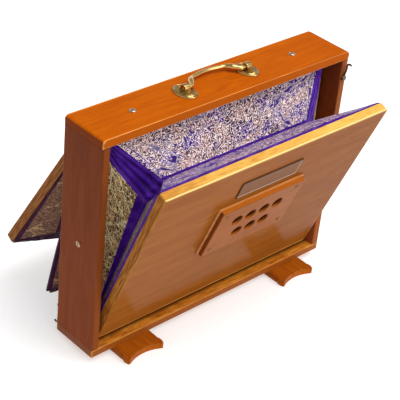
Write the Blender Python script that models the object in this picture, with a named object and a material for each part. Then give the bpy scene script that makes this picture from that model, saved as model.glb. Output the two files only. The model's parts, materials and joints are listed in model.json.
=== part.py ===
# Shruti box: a case on two feet, a feeder board and bellows in front, a reservoir board and bellows behind.
# Metres, +Z up. The front faces -Y, and the floor under the feet is z = 0.

import math

import bmesh
import bpy
from mathutils import Matrix, Vector

# Case
CASE_WIDTH = 0.400
CASE_HEIGHT = 0.308
CASE_DEPTH = 0.070
BOARD_THICKNESS = 0.011
PARTITION_THICKNESS = 0.008
EDGE_ROUND = 0.002
GAP = 0.0003

# Feet
FOOT_WIDTH = 0.061
FOOT_LENGTH = 0.128
FOOT_THICKNESS = 0.009
FOOT_END_INSET = 0.0345
FOOT_CHAMFER = 0.004
SCOOP_HALF_WIDTH = 0.020
SCOOP_DEPTH = 0.007

# Feeder and reservoir boards, and the angles they stand open at
FLAP_THICKNESS = 0.012
FLAP_SIDE_CLEARANCE = 0.006
FLAP_END_CLEARANCE = 0.0034
FOLD_ROOM = 0.0088
HINGE_RAIL_HEIGHT = 0.009
FRONT_OPEN_DEG = 21.1
REAR_OPEN_DEG = 31.5
REAR_RIDGE_DEG = 13.6

# Hinge cloth
CLOTH_THICKNESS = 0.001
CLOTH_REACH = 0.0075

# Bellows ribs and corner gussets
RIB_THICKNESS = 0.0014
GUSSET_THICKNESS = 0.0012
BELLOWS_SEAT = 0.0014
BELLOWS_EDGE = 0.003
BELLOWS_START = 0.014
RIDGE_SHORTFALL = 0.004
CORNER_INSET = 0.010
FOLD_INSET = 0.066
GUSSET_INSET = 0.0018
FRONT_SIDE_FOLD = 0.057
FRONT_END_FOLD = 0.048
REAR_SIDE_FOLD = 0.040
REAR_END_FOLD = 0.033

# Intake grille, label plate and valves
GRILLE_WIDTH = 0.141
GRILLE_HEIGHT = 0.089
GRILLE_THICKNESS = 0.008
GRILLE_CHAMFER = 0.0025
GRILLE_CENTRE = 0.1565
INTAKE_HOLE_RADIUS = 0.008
INTAKE_HOLE_PITCH = 0.0225
INTAKE_ROW_PITCH = 0.027
INTAKE_ROWS = (3, 4)
GRILLE_SCREW_INSET = 0.012
LABEL_WIDTH = 0.101
LABEL_HEIGHT = 0.028
LABEL_THICKNESS = 0.0012
LABEL_CENTRE = 0.2255
LEAF_THICKNESS = 0.0015
LEAF_MARGIN = 0.010
TRANSFER_HOLES = 4
TRANSFER_HOLE_RADIUS = 0.008
TRANSFER_HOLE_PITCH = 0.030
TRANSFER_HEIGHT = 0.085

# Reeds and tone tabs, measured down the reservoir board from its hinge
TONES = 13
TONE_PITCH = 0.024
TONE_HOLE_RADIUS = 0.004
TONE_DISTANCE = 0.150
REED_PLATE_HEIGHT = 0.044
REED_PLATE_THICKNESS = 0.002
REED_PLATE_MARGIN = 0.012
REED_SLOT_WIDTH = 0.0035
REED_SLOT_LENGTH = 0.030
TAB_ARM = 0.030
TAB_PAD_RADIUS = 0.006
TAB_PIVOT_RADIUS = 0.0048
TAB_THICKNESS = 0.003

# Handle
HANDLE_SPACING = 0.101
PLATE_WIDTH = 0.026
PLATE_LENGTH = 0.036
PLATE_THICKNESS = 0.0025
LUG_WIDTH = 0.008
LUG_RADIUS = 0.0052
LUG_HEIGHT = 0.0035
BAIL_RADIUS = 0.0028
BAIL_CLEARANCE = 0.0003
BAIL_FOOT = 0.0395
BAIL_SHOULDER = 0.0225
BAIL_REACH = 0.0175
BAIL_FOOT_BEND = 0.005
BAIL_SHOULDER_BEND = 0.010
BAIL_CROWN = 0.0012
BAIL_DROP_DEG = 3.5

# Hooks
HOOK_WIRE_RADIUS = 0.0009
HOOK_LOOP_RADIUS = 0.0027
HOOK_ARM = 0.022
HOOK_CURL_RADIUS = 0.004
HOOK_BOW = 0.002
HOOK_END_DISTANCE = 0.036
HOOK_LOOP_STEPS = 12
HOOK_LOOP_OPENING_DEG = 40.0

# Screws: head radius, head height, shank radius, shank length
PARTITION_SCREW = (0.0045, 0.0016, 0.0018, 0.009)
GRILLE_SCREW = (0.0030, 0.0014, 0.0012, 0.005)
HANDLE_SCREW = (0.0028, 0.0012, 0.0012, 0.0018)
HOOK_SCREW = (0.0034, 0.0012, 0.0014, 0.008)
SCREW_CLEARANCE = 0.0003
TOP_SCREW_INSET = 0.070
SIDE_SCREW_HEIGHT = 0.151
HANDLE_SCREW_SPACING = 0.022

# Facets
HOLE_SIDES = 16
SMALL_HOLE_SIDES = 10
ROUND_SIDES = 16
OVAL_SIDES = 28
BEND_STEPS = 4
ARC_STEPS = 8
DOME_ANGLES = (0.0, 0.5, 1.0)
HOOK_CURL_POINTS = 7
MERGE_DISTANCE = 0.00001

# Worked out from the sizes above
FRONT_OPEN = math.radians(FRONT_OPEN_DEG)
REAR_OPEN = math.radians(REAR_OPEN_DEG)
REAR_RIDGE = math.radians(REAR_RIDGE_DEG)
CASE_BASE = FOOT_THICKNESS + GAP
CASE_TOP = CASE_BASE + CASE_HEIGHT
HALF_WIDTH = CASE_WIDTH / 2
HALF_DEPTH = CASE_DEPTH / 2
INNER_HALF = HALF_WIDTH - BOARD_THICKNESS
FOOT_CENTRE = HALF_WIDTH - FOOT_END_INSET - FOOT_WIDTH / 2
TOP_SCREW_PLACE = HALF_WIDTH - TOP_SCREW_INSET
INNER_LOW = CASE_BASE + BOARD_THICKNESS
INNER_HIGH = CASE_TOP - BOARD_THICKNESS
PARTITION_FACE = PARTITION_THICKNESS / 2
HINGE_OUT = PARTITION_FACE + FOLD_ROOM
HINGE_LIFT = HINGE_RAIL_HEIGHT + 2 * GAP
FRONT_HINGE = Vector((0.0, -HINGE_OUT, INNER_LOW + HINGE_LIFT))
REAR_HINGE = Vector((0.0, HINGE_OUT, INNER_HIGH - HINGE_LIFT))
FLAP_HALF = INNER_HALF - FLAP_SIDE_CLEARANCE
FLAP_HEIGHT = INNER_HIGH - INNER_LOW - HINGE_LIFT - FLAP_END_CLEARANCE
FRONT_REACH = HINGE_OUT + FLAP_THICKNESS * math.cos(FRONT_OPEN) + FLAP_HEIGHT * math.sin(FRONT_OPEN)
REAR_REACH = HINGE_OUT + FLAP_THICKNESS * math.cos(REAR_OPEN) + FLAP_HEIGHT * math.sin(REAR_OPEN)
CASE_OFFSET = (FRONT_REACH - REAR_REACH) / 2
UP = Vector((0.0, 0.0, 1.0))
BACK = Vector((0.0, 1.0, 0.0))
RIGHT = Vector((1.0, 0.0, 0.0))

# Finishes: colour, roughness, metallic
FINISHES = {
    "orange_wood": ((0.55, 0.14, 0.012), 0.30, 0.0),
    "brown_wood": ((0.20, 0.055, 0.022), 0.35, 0.0),
    "honey_wood": ((0.40, 0.17, 0.055), 0.30, 0.0),
    "pale_wood": ((0.50, 0.33, 0.17), 0.60, 0.0),
    "brocade": ((0.42, 0.36, 0.48), 0.45, 0.3),
    "satin": ((0.07, 0.015, 0.30), 0.40, 0.0),
    "leather": ((0.45, 0.30, 0.17), 0.80, 0.0),
    "brass": ((0.62, 0.44, 0.13), 0.30, 1.0),
    "steel": ((0.35, 0.33, 0.30), 0.35, 1.0),
    "ivory": ((0.80, 0.74, 0.60), 0.35, 0.0),
    "label": ((0.04, 0.02, 0.015), 0.30, 0.0),
}


def clear_scene():
    for old in list(bpy.data.objects):
        bpy.data.objects.remove(old, do_unlink=True)


def finish(name):
    made = bpy.data.materials.get(name)
    if made:
        return made
    colour, roughness, metallic = FINISHES[name]
    made = bpy.data.materials.new(name)
    made.use_nodes = True
    shader = made.node_tree.nodes["Principled BSDF"]
    shader.inputs["Base Color"].default_value = (*colour, 1.0)
    shader.inputs["Roughness"].default_value = roughness
    shader.inputs["Metallic"].default_value = metallic
    return made


def empty(name, place, parent=None, turn=0.0):
    made = bpy.data.objects.new(name, None)
    made.location = place
    made.rotation_euler = (turn, 0.0, 0.0)
    made.parent = parent
    bpy.context.collection.objects.link(made)
    return made


def from_bmesh(name, bm, parent, look, place=(0.0, 0.0, 0.0), facing=None):
    bmesh.ops.recalc_face_normals(bm, faces=bm.faces)
    mesh = bpy.data.meshes.new(name)
    bm.to_mesh(mesh)
    bm.free()
    made = bpy.data.objects.new(name, mesh)
    made.parent = parent
    made.location = place
    if facing is not None:
        made.rotation_euler = UP.rotation_difference(facing).to_euler()
    if look:
        mesh.materials.append(finish(look))
    bpy.context.collection.objects.link(made)
    return made


def block(name, low, high, parent, look, place=(0.0, 0.0, 0.0), bevel=0.0):
    # A box between two corners, with its edges rounded
    bm = bmesh.new()
    low = Vector(low)
    high = Vector(high)
    size = high - low
    shape = Matrix.Translation((low + high) / 2) @ Matrix.Diagonal((*size, 1.0))
    bmesh.ops.create_cube(bm, size=1.0, matrix=shape)
    if bevel:
        bmesh.ops.bevel(bm, geom=bm.edges[:], offset=bevel, segments=2, profile=0.5, affect="EDGES")
    return from_bmesh(name, bm, parent, look, place)


def on_axis(axis, a, b, t):
    return {"X": (t, a, b), "Y": (a, t, b), "Z": (a, b, t)}[axis]


def prism(name, outline, axis, low, high, parent, look, place=(0.0, 0.0, 0.0)):
    # An outline drawn across one axis and drawn out along it
    bm = bmesh.new()
    first = [bm.verts.new(on_axis(axis, a, b, low)) for a, b in outline]
    last = [bm.verts.new(on_axis(axis, a, b, high)) for a, b in outline]
    bm.faces.new(first)
    bm.faces.new(last)
    count = len(outline)
    for i in range(count):
        j = (i + 1) % count
        bm.faces.new((first[i], first[j], last[j], last[i]))
    return from_bmesh(name, bm, parent, look, place)


def lathe(name, profile, parent, look, place, facing, sides=ROUND_SIDES):
    # A profile of radius and height, turned about the axis it faces along
    bm = bmesh.new()
    verts = [bm.verts.new((radius, 0.0, height)) for radius, height in profile]
    edges = [bm.edges.new(pair) for pair in zip(verts, verts[1:])]
    bmesh.ops.spin(bm, geom=verts + edges, axis=UP, angle=2 * math.pi, steps=sides, use_merge=True)
    bmesh.ops.remove_doubles(bm, verts=bm.verts[:], dist=MERGE_DISTANCE)
    return from_bmesh(name, bm, parent, look, place, facing)


def wire(name, points, radius, parent, look, place=(0.0, 0.0, 0.0), sides=1):
    # Round wire or rod along a line of points
    curve = bpy.data.curves.new(name, "CURVE")
    curve.dimensions = "3D"
    curve.bevel_depth = radius
    curve.bevel_resolution = sides
    curve.use_fill_caps = True
    spline = curve.splines.new("POLY")
    spline.points.add(len(points) - 1)
    for spot, point in zip(spline.points, points):
        spot.co = (*point, 1.0)
    curve.materials.append(finish(look))
    made = bpy.data.objects.new(name, curve)
    made.parent = parent
    made.location = place
    bpy.context.collection.objects.link(made)
    return made


def cut(target, shapes):
    # Cut round holes, each a place, a direction, a radius and a depth to both sides of the place
    bm = bmesh.new()
    for place, along, radius, reach, sides in shapes:
        turn = UP.rotation_difference(along).to_matrix().to_4x4()
        where = Matrix.Translation(place) @ turn
        bmesh.ops.create_cone(bm, cap_ends=True, segments=sides, radius1=radius, radius2=radius,
                              depth=2 * reach, matrix=where)
    cutter = from_bmesh(target.name + "_cutter", bm, target.parent, None, target.location)
    cutter.rotation_euler = target.rotation_euler
    subtract(target, cutter)


def subtract(target, cutter):
    cutter.hide_render = True
    cutter.display_type = "WIRE"
    step = target.modifiers.new(cutter.name, "BOOLEAN")
    step.operation = "DIFFERENCE"
    step.object = cutter


def sheet(name, points, faces, thickness, parent, look):
    # A folded sheet of even thickness around the surface that its points and faces give
    bm = bmesh.new()
    verts = [bm.verts.new(point) for point in points]
    for face in faces:
        bm.faces.new([verts[i] for i in face])
    made = from_bmesh(name, bm, parent, look)
    step = made.modifiers.new("thickness", "SOLIDIFY")
    step.thickness = thickness
    step.offset = 0.0
    step.use_even_offset = True
    return made


def screw(name, size, place, facing, parent, look):
    # A domed head with a plain shank behind it; the head's underside sits on the place
    head_radius, head_height, shank_radius, shank_length = size
    dome = [(head_radius * math.cos(t), head_height * math.sin(t)) for t in DOME_ANGLES]
    profile = [(0.0, head_height), *reversed(dome), (shank_radius, 0.0)]
    profile += [(shank_radius, -shank_length), (0.0, -shank_length)]
    return lathe(name, profile, parent, look, place, facing, SMALL_HOLE_SIDES)


def screw_hole(size, place, facing, reach):
    return (place, facing, size[2] + SCREW_CLEARANCE, reach, SMALL_HOLE_SIDES)


def arc(centre, radius, start, stop, steps):
    return [(centre[0] + radius * math.cos(start + (stop - start) * i / steps),
             centre[1] + radius * math.sin(start + (stop - start) * i / steps)) for i in range(steps + 1)]


def make_case(case):
    low_side = INNER_LOW + GAP
    high_side = INNER_HIGH - GAP
    top = block("top_board", (-HALF_WIDTH, -HALF_DEPTH, INNER_HIGH), (HALF_WIDTH, HALF_DEPTH, CASE_TOP),
                case, "orange_wood", bevel=EDGE_ROUND)
    block("bottom_board", (-HALF_WIDTH, -HALF_DEPTH, CASE_BASE), (HALF_WIDTH, HALF_DEPTH, INNER_LOW),
          case, "orange_wood", bevel=EDGE_ROUND)
    left = block("left_side_board", (-HALF_WIDTH, -HALF_DEPTH, low_side),
                 (-INNER_HALF, HALF_DEPTH, high_side), case, "brown_wood", bevel=EDGE_ROUND)
    right = block("right_side_board", (INNER_HALF, -HALF_DEPTH, low_side),
                  (HALF_WIDTH, HALF_DEPTH, high_side), case, "brown_wood", bevel=EDGE_ROUND)
    inner = INNER_HALF - GAP
    partition = block("partition_board", (-inner, -PARTITION_FACE, low_side),
                      (inner, PARTITION_FACE, high_side), case, "pale_wood")
    block("front_hinge_rail", (-inner, -HINGE_OUT + GAP, low_side),
          (inner, -PARTITION_FACE - GAP, low_side + HINGE_RAIL_HEIGHT), case, "pale_wood")
    block("rear_hinge_rail", (-inner, PARTITION_FACE + GAP, high_side - HINGE_RAIL_HEIGHT),
          (inner, HINGE_OUT - GAP, high_side), case, "pale_wood")
    holes = [(Vector((x, 0.0, INNER_LOW + TRANSFER_HEIGHT)), BACK, TRANSFER_HOLE_RADIUS,
              PARTITION_THICKNESS, HOLE_SIDES) for x in transfer_places()]
    cut(partition, holes)
    return top, left, right


def transfer_places():
    return [(i - (TRANSFER_HOLES - 1) / 2) * TRANSFER_HOLE_PITCH for i in range(TRANSFER_HOLES)]


def make_partition_screws(case, top):
    reach = PARTITION_SCREW[3] + GAP
    top_holes = []
    for name, x in (("left_top_screw", -TOP_SCREW_PLACE), ("right_top_screw", TOP_SCREW_PLACE)):
        screw(name, PARTITION_SCREW, Vector((x, 0.0, CASE_TOP + GAP)), UP, case, "steel")
        top_holes.append(screw_hole(PARTITION_SCREW, Vector((x, 0.0, CASE_TOP)), UP, reach))
    cut(top, top_holes)
    height = CASE_BASE + SIDE_SCREW_HEIGHT
    screw("left_side_screw", PARTITION_SCREW, Vector((-HALF_WIDTH - GAP, 0.0, height)), -RIGHT, case, "steel")
    screw("right_side_screw", PARTITION_SCREW, Vector((HALF_WIDTH + GAP, 0.0, height)), RIGHT, case, "steel")
    left_hole = screw_hole(PARTITION_SCREW, Vector((-HALF_WIDTH, 0.0, height)), RIGHT, reach)
    right_hole = screw_hole(PARTITION_SCREW, Vector((HALF_WIDTH, 0.0, height)), RIGHT, reach)
    return left_hole, right_hole


def foot_outline():
    half = FOOT_WIDTH / 2
    end = FOOT_LENGTH / 2
    radius = (SCOOP_HALF_WIDTH ** 2 + SCOOP_DEPTH ** 2) / (2 * SCOOP_DEPTH)
    spread = math.asin(SCOOP_HALF_WIDTH / radius)
    centre = (0.0, end - SCOOP_DEPTH + radius)
    scoop = arc(centre, radius, -math.pi / 2 + spread, -math.pi / 2 - spread, ARC_STEPS)
    rear = [(half, end - FOOT_CHAMFER), (half - FOOT_CHAMFER, end), *scoop]
    rear += [(FOOT_CHAMFER - half, end), (-half, end - FOOT_CHAMFER)]
    return rear + [(-x, -y) for x, y in rear]


def make_feet(case):
    for name, side in (("left_foot", -1), ("right_foot", 1)):
        prism(name, foot_outline(), "Z", 0.0, FOOT_THICKNESS, case, "orange_wood",
              (side * FOOT_CENTRE, 0.0, 0.0))


def hinge_cloth(name, hinge, side, opening, case):
    # A folded strip on the rail and up the board's inner face; side turns it over for the rear hinge
    along = Vector((0.0, -math.sin(opening), math.cos(opening)))
    inward = Vector((0.0, math.cos(opening), math.sin(opening)))
    outer = GAP + CLOTH_THICKNESS
    elbow_in = (CLOTH_THICKNESS - math.sin(opening) * outer) / math.cos(opening)
    elbow_out = -math.tan(opening) * GAP
    corners = [Vector((0.0, CLOTH_REACH, 0.0)), Vector((0.0, CLOTH_REACH, CLOTH_THICKNESS)),
               inward * outer + along * elbow_in, inward * outer + along * CLOTH_REACH,
               inward * GAP + along * CLOTH_REACH, inward * GAP + along * elbow_out]
    outline = [(hinge + side * corner)[1:] for corner in corners]
    prism(name, outline, "X", -FLAP_HALF, FLAP_HALF, case, "leather")


def intake_places():
    # Hole centres on the grille, across and up from the grille's own centre
    places = []
    for row, count in enumerate(INTAKE_ROWS):
        up = (row - (len(INTAKE_ROWS) - 1) / 2) * INTAKE_ROW_PITCH
        places += [((i - (count - 1) / 2) * INTAKE_HOLE_PITCH, up) for i in range(count)]
    return places


def make_front_board(hinge):
    board = block("front_board", (-FLAP_HALF, -FLAP_THICKNESS, 0.0), (FLAP_HALF, 0.0, FLAP_HEIGHT),
                  hinge, "honey_wood", bevel=EDGE_ROUND)
    front = -FLAP_THICKNESS - GAP
    face = front - GRILLE_THICKNESS
    half_w = GRILLE_WIDTH / 2
    half_h = GRILLE_HEIGHT / 2
    grille = block("intake_grille", (-half_w, face, GRILLE_CENTRE - half_h),
                   (half_w, front, GRILLE_CENTRE + half_h), hinge, "orange_wood", bevel=GRILLE_CHAMFER)
    holes = [(Vector((x, front, GRILLE_CENTRE + up)), BACK, INTAKE_HOLE_RADIUS,
              GRILLE_THICKNESS + FLAP_THICKNESS, HOLE_SIDES) for x, up in intake_places()]
    cut(board, holes)
    number = 0
    for up in (half_h - GRILLE_SCREW_INSET, GRILLE_SCREW_INSET - half_h):
        for x in (GRILLE_SCREW_INSET - half_w, half_w - GRILLE_SCREW_INSET):
            number += 1
            seat = Vector((x, face - GAP, GRILLE_CENTRE + up))
            screw(f"grille_screw_{number}", GRILLE_SCREW, seat, -BACK, hinge, "brass")
            holes.append(screw_hole(GRILLE_SCREW, seat, BACK, GRILLE_SCREW[3] + 2 * GAP))
    cut(grille, holes)
    block("name_plate", (-LABEL_WIDTH / 2, front - LABEL_THICKNESS, LABEL_CENTRE - LABEL_HEIGHT / 2),
          (LABEL_WIDTH / 2, front, LABEL_CENTRE + LABEL_HEIGHT / 2), hinge, "label")
    across = (max(INTAKE_ROWS) - 1) / 2 * INTAKE_HOLE_PITCH + INTAKE_HOLE_RADIUS + LEAF_MARGIN
    rise = (len(INTAKE_ROWS) - 1) / 2 * INTAKE_ROW_PITCH + INTAKE_HOLE_RADIUS + LEAF_MARGIN
    block("intake_valve", (-across, 0.0, -2 * rise), (across, LEAF_THICKNESS, 0.0), hinge, "leather",
          (0.0, GAP, GRILLE_CENTRE + rise))


def make_transfer_valve(case):
    across = (TRANSFER_HOLES - 1) / 2 * TRANSFER_HOLE_PITCH + TRANSFER_HOLE_RADIUS + LEAF_MARGIN
    rise = TRANSFER_HOLE_RADIUS + LEAF_MARGIN
    block("transfer_valve", (-across, 0.0, -2 * rise), (across, LEAF_THICKNESS, 0.0), case, "leather",
          (0.0, PARTITION_FACE + GAP, INNER_LOW + TRANSFER_HEIGHT + rise))


def tone_places():
    return [(i - (TONES - 1) / 2) * TONE_PITCH for i in range(TONES)]


def tab_outline():
    # Two circles of unlike size, joined by their outer tangents
    lean = math.asin((TAB_PAD_RADIUS - TAB_PIVOT_RADIUS) / TAB_ARM)
    top = arc((0.0, 0.0), TAB_PIVOT_RADIUS, -lean, math.pi + lean, ARC_STEPS)
    pad = arc((0.0, -TAB_ARM), TAB_PAD_RADIUS, math.pi + lean, 2 * math.pi - lean, ARC_STEPS)
    return top + pad


def make_rear_board(hinge):
    board = block("rear_board", (-FLAP_HALF, 0.0, -FLAP_HEIGHT), (FLAP_HALF, FLAP_THICKNESS, 0.0),
                  hinge, "honey_wood", bevel=EDGE_ROUND)
    cut(board, [(Vector((x, 0.0, -TONE_DISTANCE)), BACK, TONE_HOLE_RADIUS, 2 * FLAP_THICKNESS,
                 SMALL_HOLE_SIDES) for x in tone_places()])
    half = (TONES - 1) / 2 * TONE_PITCH + REED_PLATE_MARGIN
    rise = REED_PLATE_HEIGHT / 2
    plate = block("reed_plate", (-half, -REED_PLATE_THICKNESS - GAP, -TONE_DISTANCE - rise),
                  (half, -GAP, -TONE_DISTANCE + rise), hinge, "brass")
    slots = bmesh.new()
    for x in tone_places():
        size = (REED_SLOT_WIDTH, 4 * REED_PLATE_THICKNESS, REED_SLOT_LENGTH, 1.0)
        shape = Matrix.Translation((x, 0.0, -TONE_DISTANCE)) @ Matrix.Diagonal(size)
        bmesh.ops.create_cube(slots, size=1.0, matrix=shape)
    subtract(plate, from_bmesh("reed_slots", slots, hinge, None))
    for i, x in enumerate(tone_places()):
        prism(f"tone_tab_{i + 1:02d}", tab_outline(), "Y", 0.0, TAB_THICKNESS, hinge, "ivory",
              (x, FLAP_THICKNESS + GAP, TAB_ARM - TONE_DISTANCE))


def make_handle(case):
    seat = CASE_TOP + GAP
    axis_height = seat + PLATE_THICKNESS + LUG_HEIGHT
    number = 0
    for name, side in (("left_handle_plate", -1), ("right_handle_plate", 1)):
        x = side * HANDLE_SPACING / 2
        oval = [(PLATE_WIDTH / 2 * math.cos(t), PLATE_LENGTH / 2 * math.sin(t))
                for t in (2 * math.pi * i / OVAL_SIDES for i in range(OVAL_SIDES))]
        plate = prism(name, oval, "Z", 0.0, PLATE_THICKNESS, case, "brass", (x, 0.0, seat))
        lift = PLATE_THICKNESS + LUG_HEIGHT
        lug_outline = [(-LUG_RADIUS, PLATE_THICKNESS / 2), (LUG_RADIUS, PLATE_THICKNESS / 2)]
        lug_outline += arc((0.0, lift), LUG_RADIUS, 0.0, math.pi, ARC_STEPS)
        lug = prism(name + "_lug", lug_outline, "X", -LUG_WIDTH / 2, LUG_WIDTH / 2, case, "brass",
                    (x, 0.0, seat))
        lug.hide_render = True
        lug.display_type = "WIRE"
        join = plate.modifiers.new("lug", "BOOLEAN")
        join.operation = "UNION"
        join.object = lug
        holes = [(Vector((0.0, 0.0, lift)), RIGHT, BAIL_RADIUS + BAIL_CLEARANCE, LUG_WIDTH, HOLE_SIDES)]
        for y in (-HANDLE_SCREW_SPACING / 2, HANDLE_SCREW_SPACING / 2):
            number += 1
            place = Vector((x, y, seat + PLATE_THICKNESS + GAP))
            screw(f"handle_screw_{number}", HANDLE_SCREW, place, UP, case, "brass")
            holes.append(screw_hole(HANDLE_SCREW, Vector((0.0, y, PLATE_THICKNESS)), UP, PLATE_THICKNESS * 2))
        cut(plate, holes)
    lying = -math.radians(90.0 + BAIL_DROP_DEG)
    pivot = empty("handle_pivot", (0.0, 0.0, axis_height), case, lying)
    wire("handle_bail", bail_points(), BAIL_RADIUS, pivot, "brass", sides=2)


def bail_points():
    # Pin in the lug, a slanted leg, a shoulder and a slightly crowned grip, then the same mirrored
    quarter = math.pi / 2
    slant = math.atan2(BAIL_REACH, BAIL_FOOT - BAIL_SHOULDER)
    turn = math.tan(slant / 2)
    pin = [(-(HANDLE_SPACING + LUG_WIDTH) / 2 + GAP, 0.0)]
    centre = (-BAIL_FOOT - BAIL_FOOT_BEND * turn, BAIL_FOOT_BEND)
    foot = arc(centre, BAIL_FOOT_BEND, -quarter, slant - quarter, BEND_STEPS)
    centre = (-BAIL_SHOULDER + BAIL_SHOULDER_BEND * turn, BAIL_REACH - BAIL_SHOULDER_BEND)
    shoulder = arc(centre, BAIL_SHOULDER_BEND, slant + quarter, quarter, BEND_STEPS)
    start = shoulder[-1][0]
    grip = []
    for i in range(1, ARC_STEPS):
        x = start * (1 - i / ARC_STEPS)
        grip.append((x, BAIL_REACH + BAIL_CROWN * (1 - (x / start) ** 2)))
    left = pin + foot + shoulder + grip
    middle = [(0.0, BAIL_REACH + BAIL_CROWN)]
    right = [(-x, z) for x, z in reversed(left)]
    return [(x, 0.0, z) for x, z in left + middle + right]


def hook_points():
    # A loop round the pivot screw, a slightly bowed arm along +Z, and a tip that curls out along -Y
    opening = math.radians(HOOK_LOOP_OPENING_DEG)
    quarter = math.pi / 2
    loop = arc((0.0, 0.0), HOOK_LOOP_RADIUS, quarter - opening, -3 * quarter, HOOK_LOOP_STEPS)
    points = [(x, 0.0, z) for x, z in loop]
    arm_end = HOOK_LOOP_RADIUS + HOOK_ARM
    for i in range(1, BEND_STEPS):
        share = i / BEND_STEPS
        points.append((0.0, -HOOK_BOW * math.sin(share * quarter), HOOK_LOOP_RADIUS + share * HOOK_ARM))
    curl = arc((-HOOK_BOW - HOOK_CURL_RADIUS, arm_end), HOOK_CURL_RADIUS, 0.0, 2 * quarter, 2 * BEND_STEPS)
    points += [(0.0, y, z) for y, z in curl[:HOOK_CURL_POINTS]]
    return points


def make_hooks(case, left, right, left_hole, right_hole):
    stand = HOOK_WIRE_RADIUS + GAP
    places = (("front", right, right_hole, 1, Vector((HALF_WIDTH - BOARD_THICKNESS / 2, -HALF_DEPTH,
                                                      CASE_TOP - HOOK_END_DISTANCE))),
              ("rear", left, left_hole, -1, Vector((BOARD_THICKNESS / 2 - HALF_WIDTH, HALF_DEPTH,
                                                    CASE_BASE + HOOK_END_DISTANCE))))
    for end, wall, wall_hole, side, place in places:
        out = -side * BACK
        pivot = empty(end + "_hook_pivot", place + stand * out, case, 0.0 if side > 0 else math.pi)
        wire(end + "_hook", hook_points(), HOOK_WIRE_RADIUS, pivot, "steel")
        head = place + (stand + HOOK_WIRE_RADIUS + GAP) * out
        screw(end + "_hook_screw", HOOK_SCREW, head, out, case, "steel")
        cut(wall, [wall_hole, screw_hole(HOOK_SCREW, place, BACK, HOOK_SCREW[3])])


def station(base, along, length, half):
    # One outer line of a bellows: where it starts beside the hinge, which way it runs, how far, how wide
    return {"base": Vector((0.0, *base)), "along": Vector((0.0, *along)), "length": length, "half": half}


def edge_point(line, side, short):
    # A point on an outer line's side edge, this far short of its corner
    spot = line["base"] + line["along"] * (line["length"] - short)
    return spot + side * line["half"] * RIGHT


def end_point(line, side, inset):
    # A point on an outer line's end edge, this far in from its corner
    spot = line["base"] + line["along"] * line["length"]
    return spot + side * (line["half"] - inset) * RIGHT


def side_fold(first, second, side, short, depth):
    # A point on the inward fold between two outer lines along the side, as deep as its share of the length
    middle = (edge_point(first, side, short) + edge_point(second, side, short)) / 2
    share = 1 - short / first["length"]
    return middle - side * depth * share * RIGHT


def end_fold(first, second, side, inset, depth):
    # A point on the inward fold between two outer lines across the end
    a = end_point(first, side, inset)
    b = end_point(second, side, inset)
    chord = (b - a).normalized()
    back = -(first["along"] + second["along"]).normalized()
    inward = (back - back.dot(chord) * chord).normalized()
    return (a + b) / 2 + inward * depth


def bellows(prefix, end, lines, side_depth, end_depth, case):
    # Ribs folded inward between each pair of outer lines, with a gusset in each corner
    pairs = list(zip(lines, lines[1:]))
    for name, side in (("left", -1), ("right", 1)):
        points = []
        for at_hinge in (True, False):
            for k, line in enumerate(lines):
                short = line["length"] - BELLOWS_START if at_hinge else CORNER_INSET
                points.append(edge_point(line, side, short))
                if k < len(pairs):
                    short = line["length"] - BELLOWS_START if at_hinge else FOLD_INSET
                    points.append(side_fold(*pairs[k], side, short, side_depth))
        count = len(points) // 2
        faces = [(i, i + 1, count + i + 1, count + i) for i in range(count - 1)]
        sheet(f"{prefix}_bellows_{name}", points, faces, RIB_THICKNESS, case, "brocade")
    points = []
    for side in (-1, 1):
        for k, line in enumerate(lines):
            points.append(end_point(line, side, CORNER_INSET))
            if k < len(pairs):
                points.append(end_fold(*pairs[k], side, FOLD_INSET, end_depth))
    count = len(points) // 2
    faces = [(i, i + 1, count + i + 1, count + i) for i in range(count - 1)]
    sheet(f"{prefix}_bellows_{end}", points, faces, RIB_THICKNESS, case, "brocade")
    corner = CORNER_INSET - GUSSET_INSET
    fold = FOLD_INSET - GUSSET_INSET
    for name, side in (("left", -1), ("right", 1)):
        points = []
        faces = []
        for k, line in enumerate(lines):
            points.append(edge_point(line, side, corner))
            points += [end_point(line, side, 0.0), end_point(line, side, corner)]
            if k < len(pairs):
                first, second = pairs[k]
                points.append(side_fold(first, second, side, fold, side_depth))
                points.append(end_fold(first, second, side, fold, end_depth))
                a, b, c, s, e = range(5 * k, 5 * k + 5)
                faces += [(a, b, s), (b, e, s), (b, c, e)]
                faces += [(a + 5, s, b + 5), (b + 5, s, e), (b + 5, e, c + 5)]
        sheet(f"{prefix}_{name}_gusset", points, faces, GUSSET_THICKNESS, case, "satin")


def make_bellows(case):
    wide = INNER_HALF - BELLOWS_EDGE
    flap_wide = FLAP_HALF - BELLOWS_EDGE / 2
    run = INNER_HIGH - BELLOWS_EDGE - FRONT_HINGE.z
    flap_run = FLAP_HEIGHT - BELLOWS_EDGE / 2
    seat = PARTITION_FACE + BELLOWS_SEAT
    sine = math.sin(FRONT_OPEN)
    cosine = math.cos(FRONT_OPEN)
    fixed = station((-seat, FRONT_HINGE.z), (0.0, 1.0), run, wide)
    moving = station((FRONT_HINGE.y + BELLOWS_SEAT * cosine, FRONT_HINGE.z + BELLOWS_SEAT * sine),
                     (-sine, cosine), flap_run, flap_wide)
    bellows("front", "top", [fixed, moving], FRONT_SIDE_FOLD, FRONT_END_FOLD, case)
    sine = math.sin(REAR_OPEN)
    cosine = math.cos(REAR_OPEN)
    fixed = station((seat, REAR_HINGE.z), (0.0, -1.0), run, wide)
    ridge = station((REAR_HINGE.y, REAR_HINGE.z), (math.sin(REAR_RIDGE), -math.cos(REAR_RIDGE)),
                    flap_run - RIDGE_SHORTFALL, wide)
    moving = station((REAR_HINGE.y - BELLOWS_SEAT * cosine, REAR_HINGE.z - BELLOWS_SEAT * sine),
                     (sine, -cosine), flap_run, flap_wide)
    bellows("rear", "bottom", [fixed, ridge, moving], REAR_SIDE_FOLD, REAR_END_FOLD, case)


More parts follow.
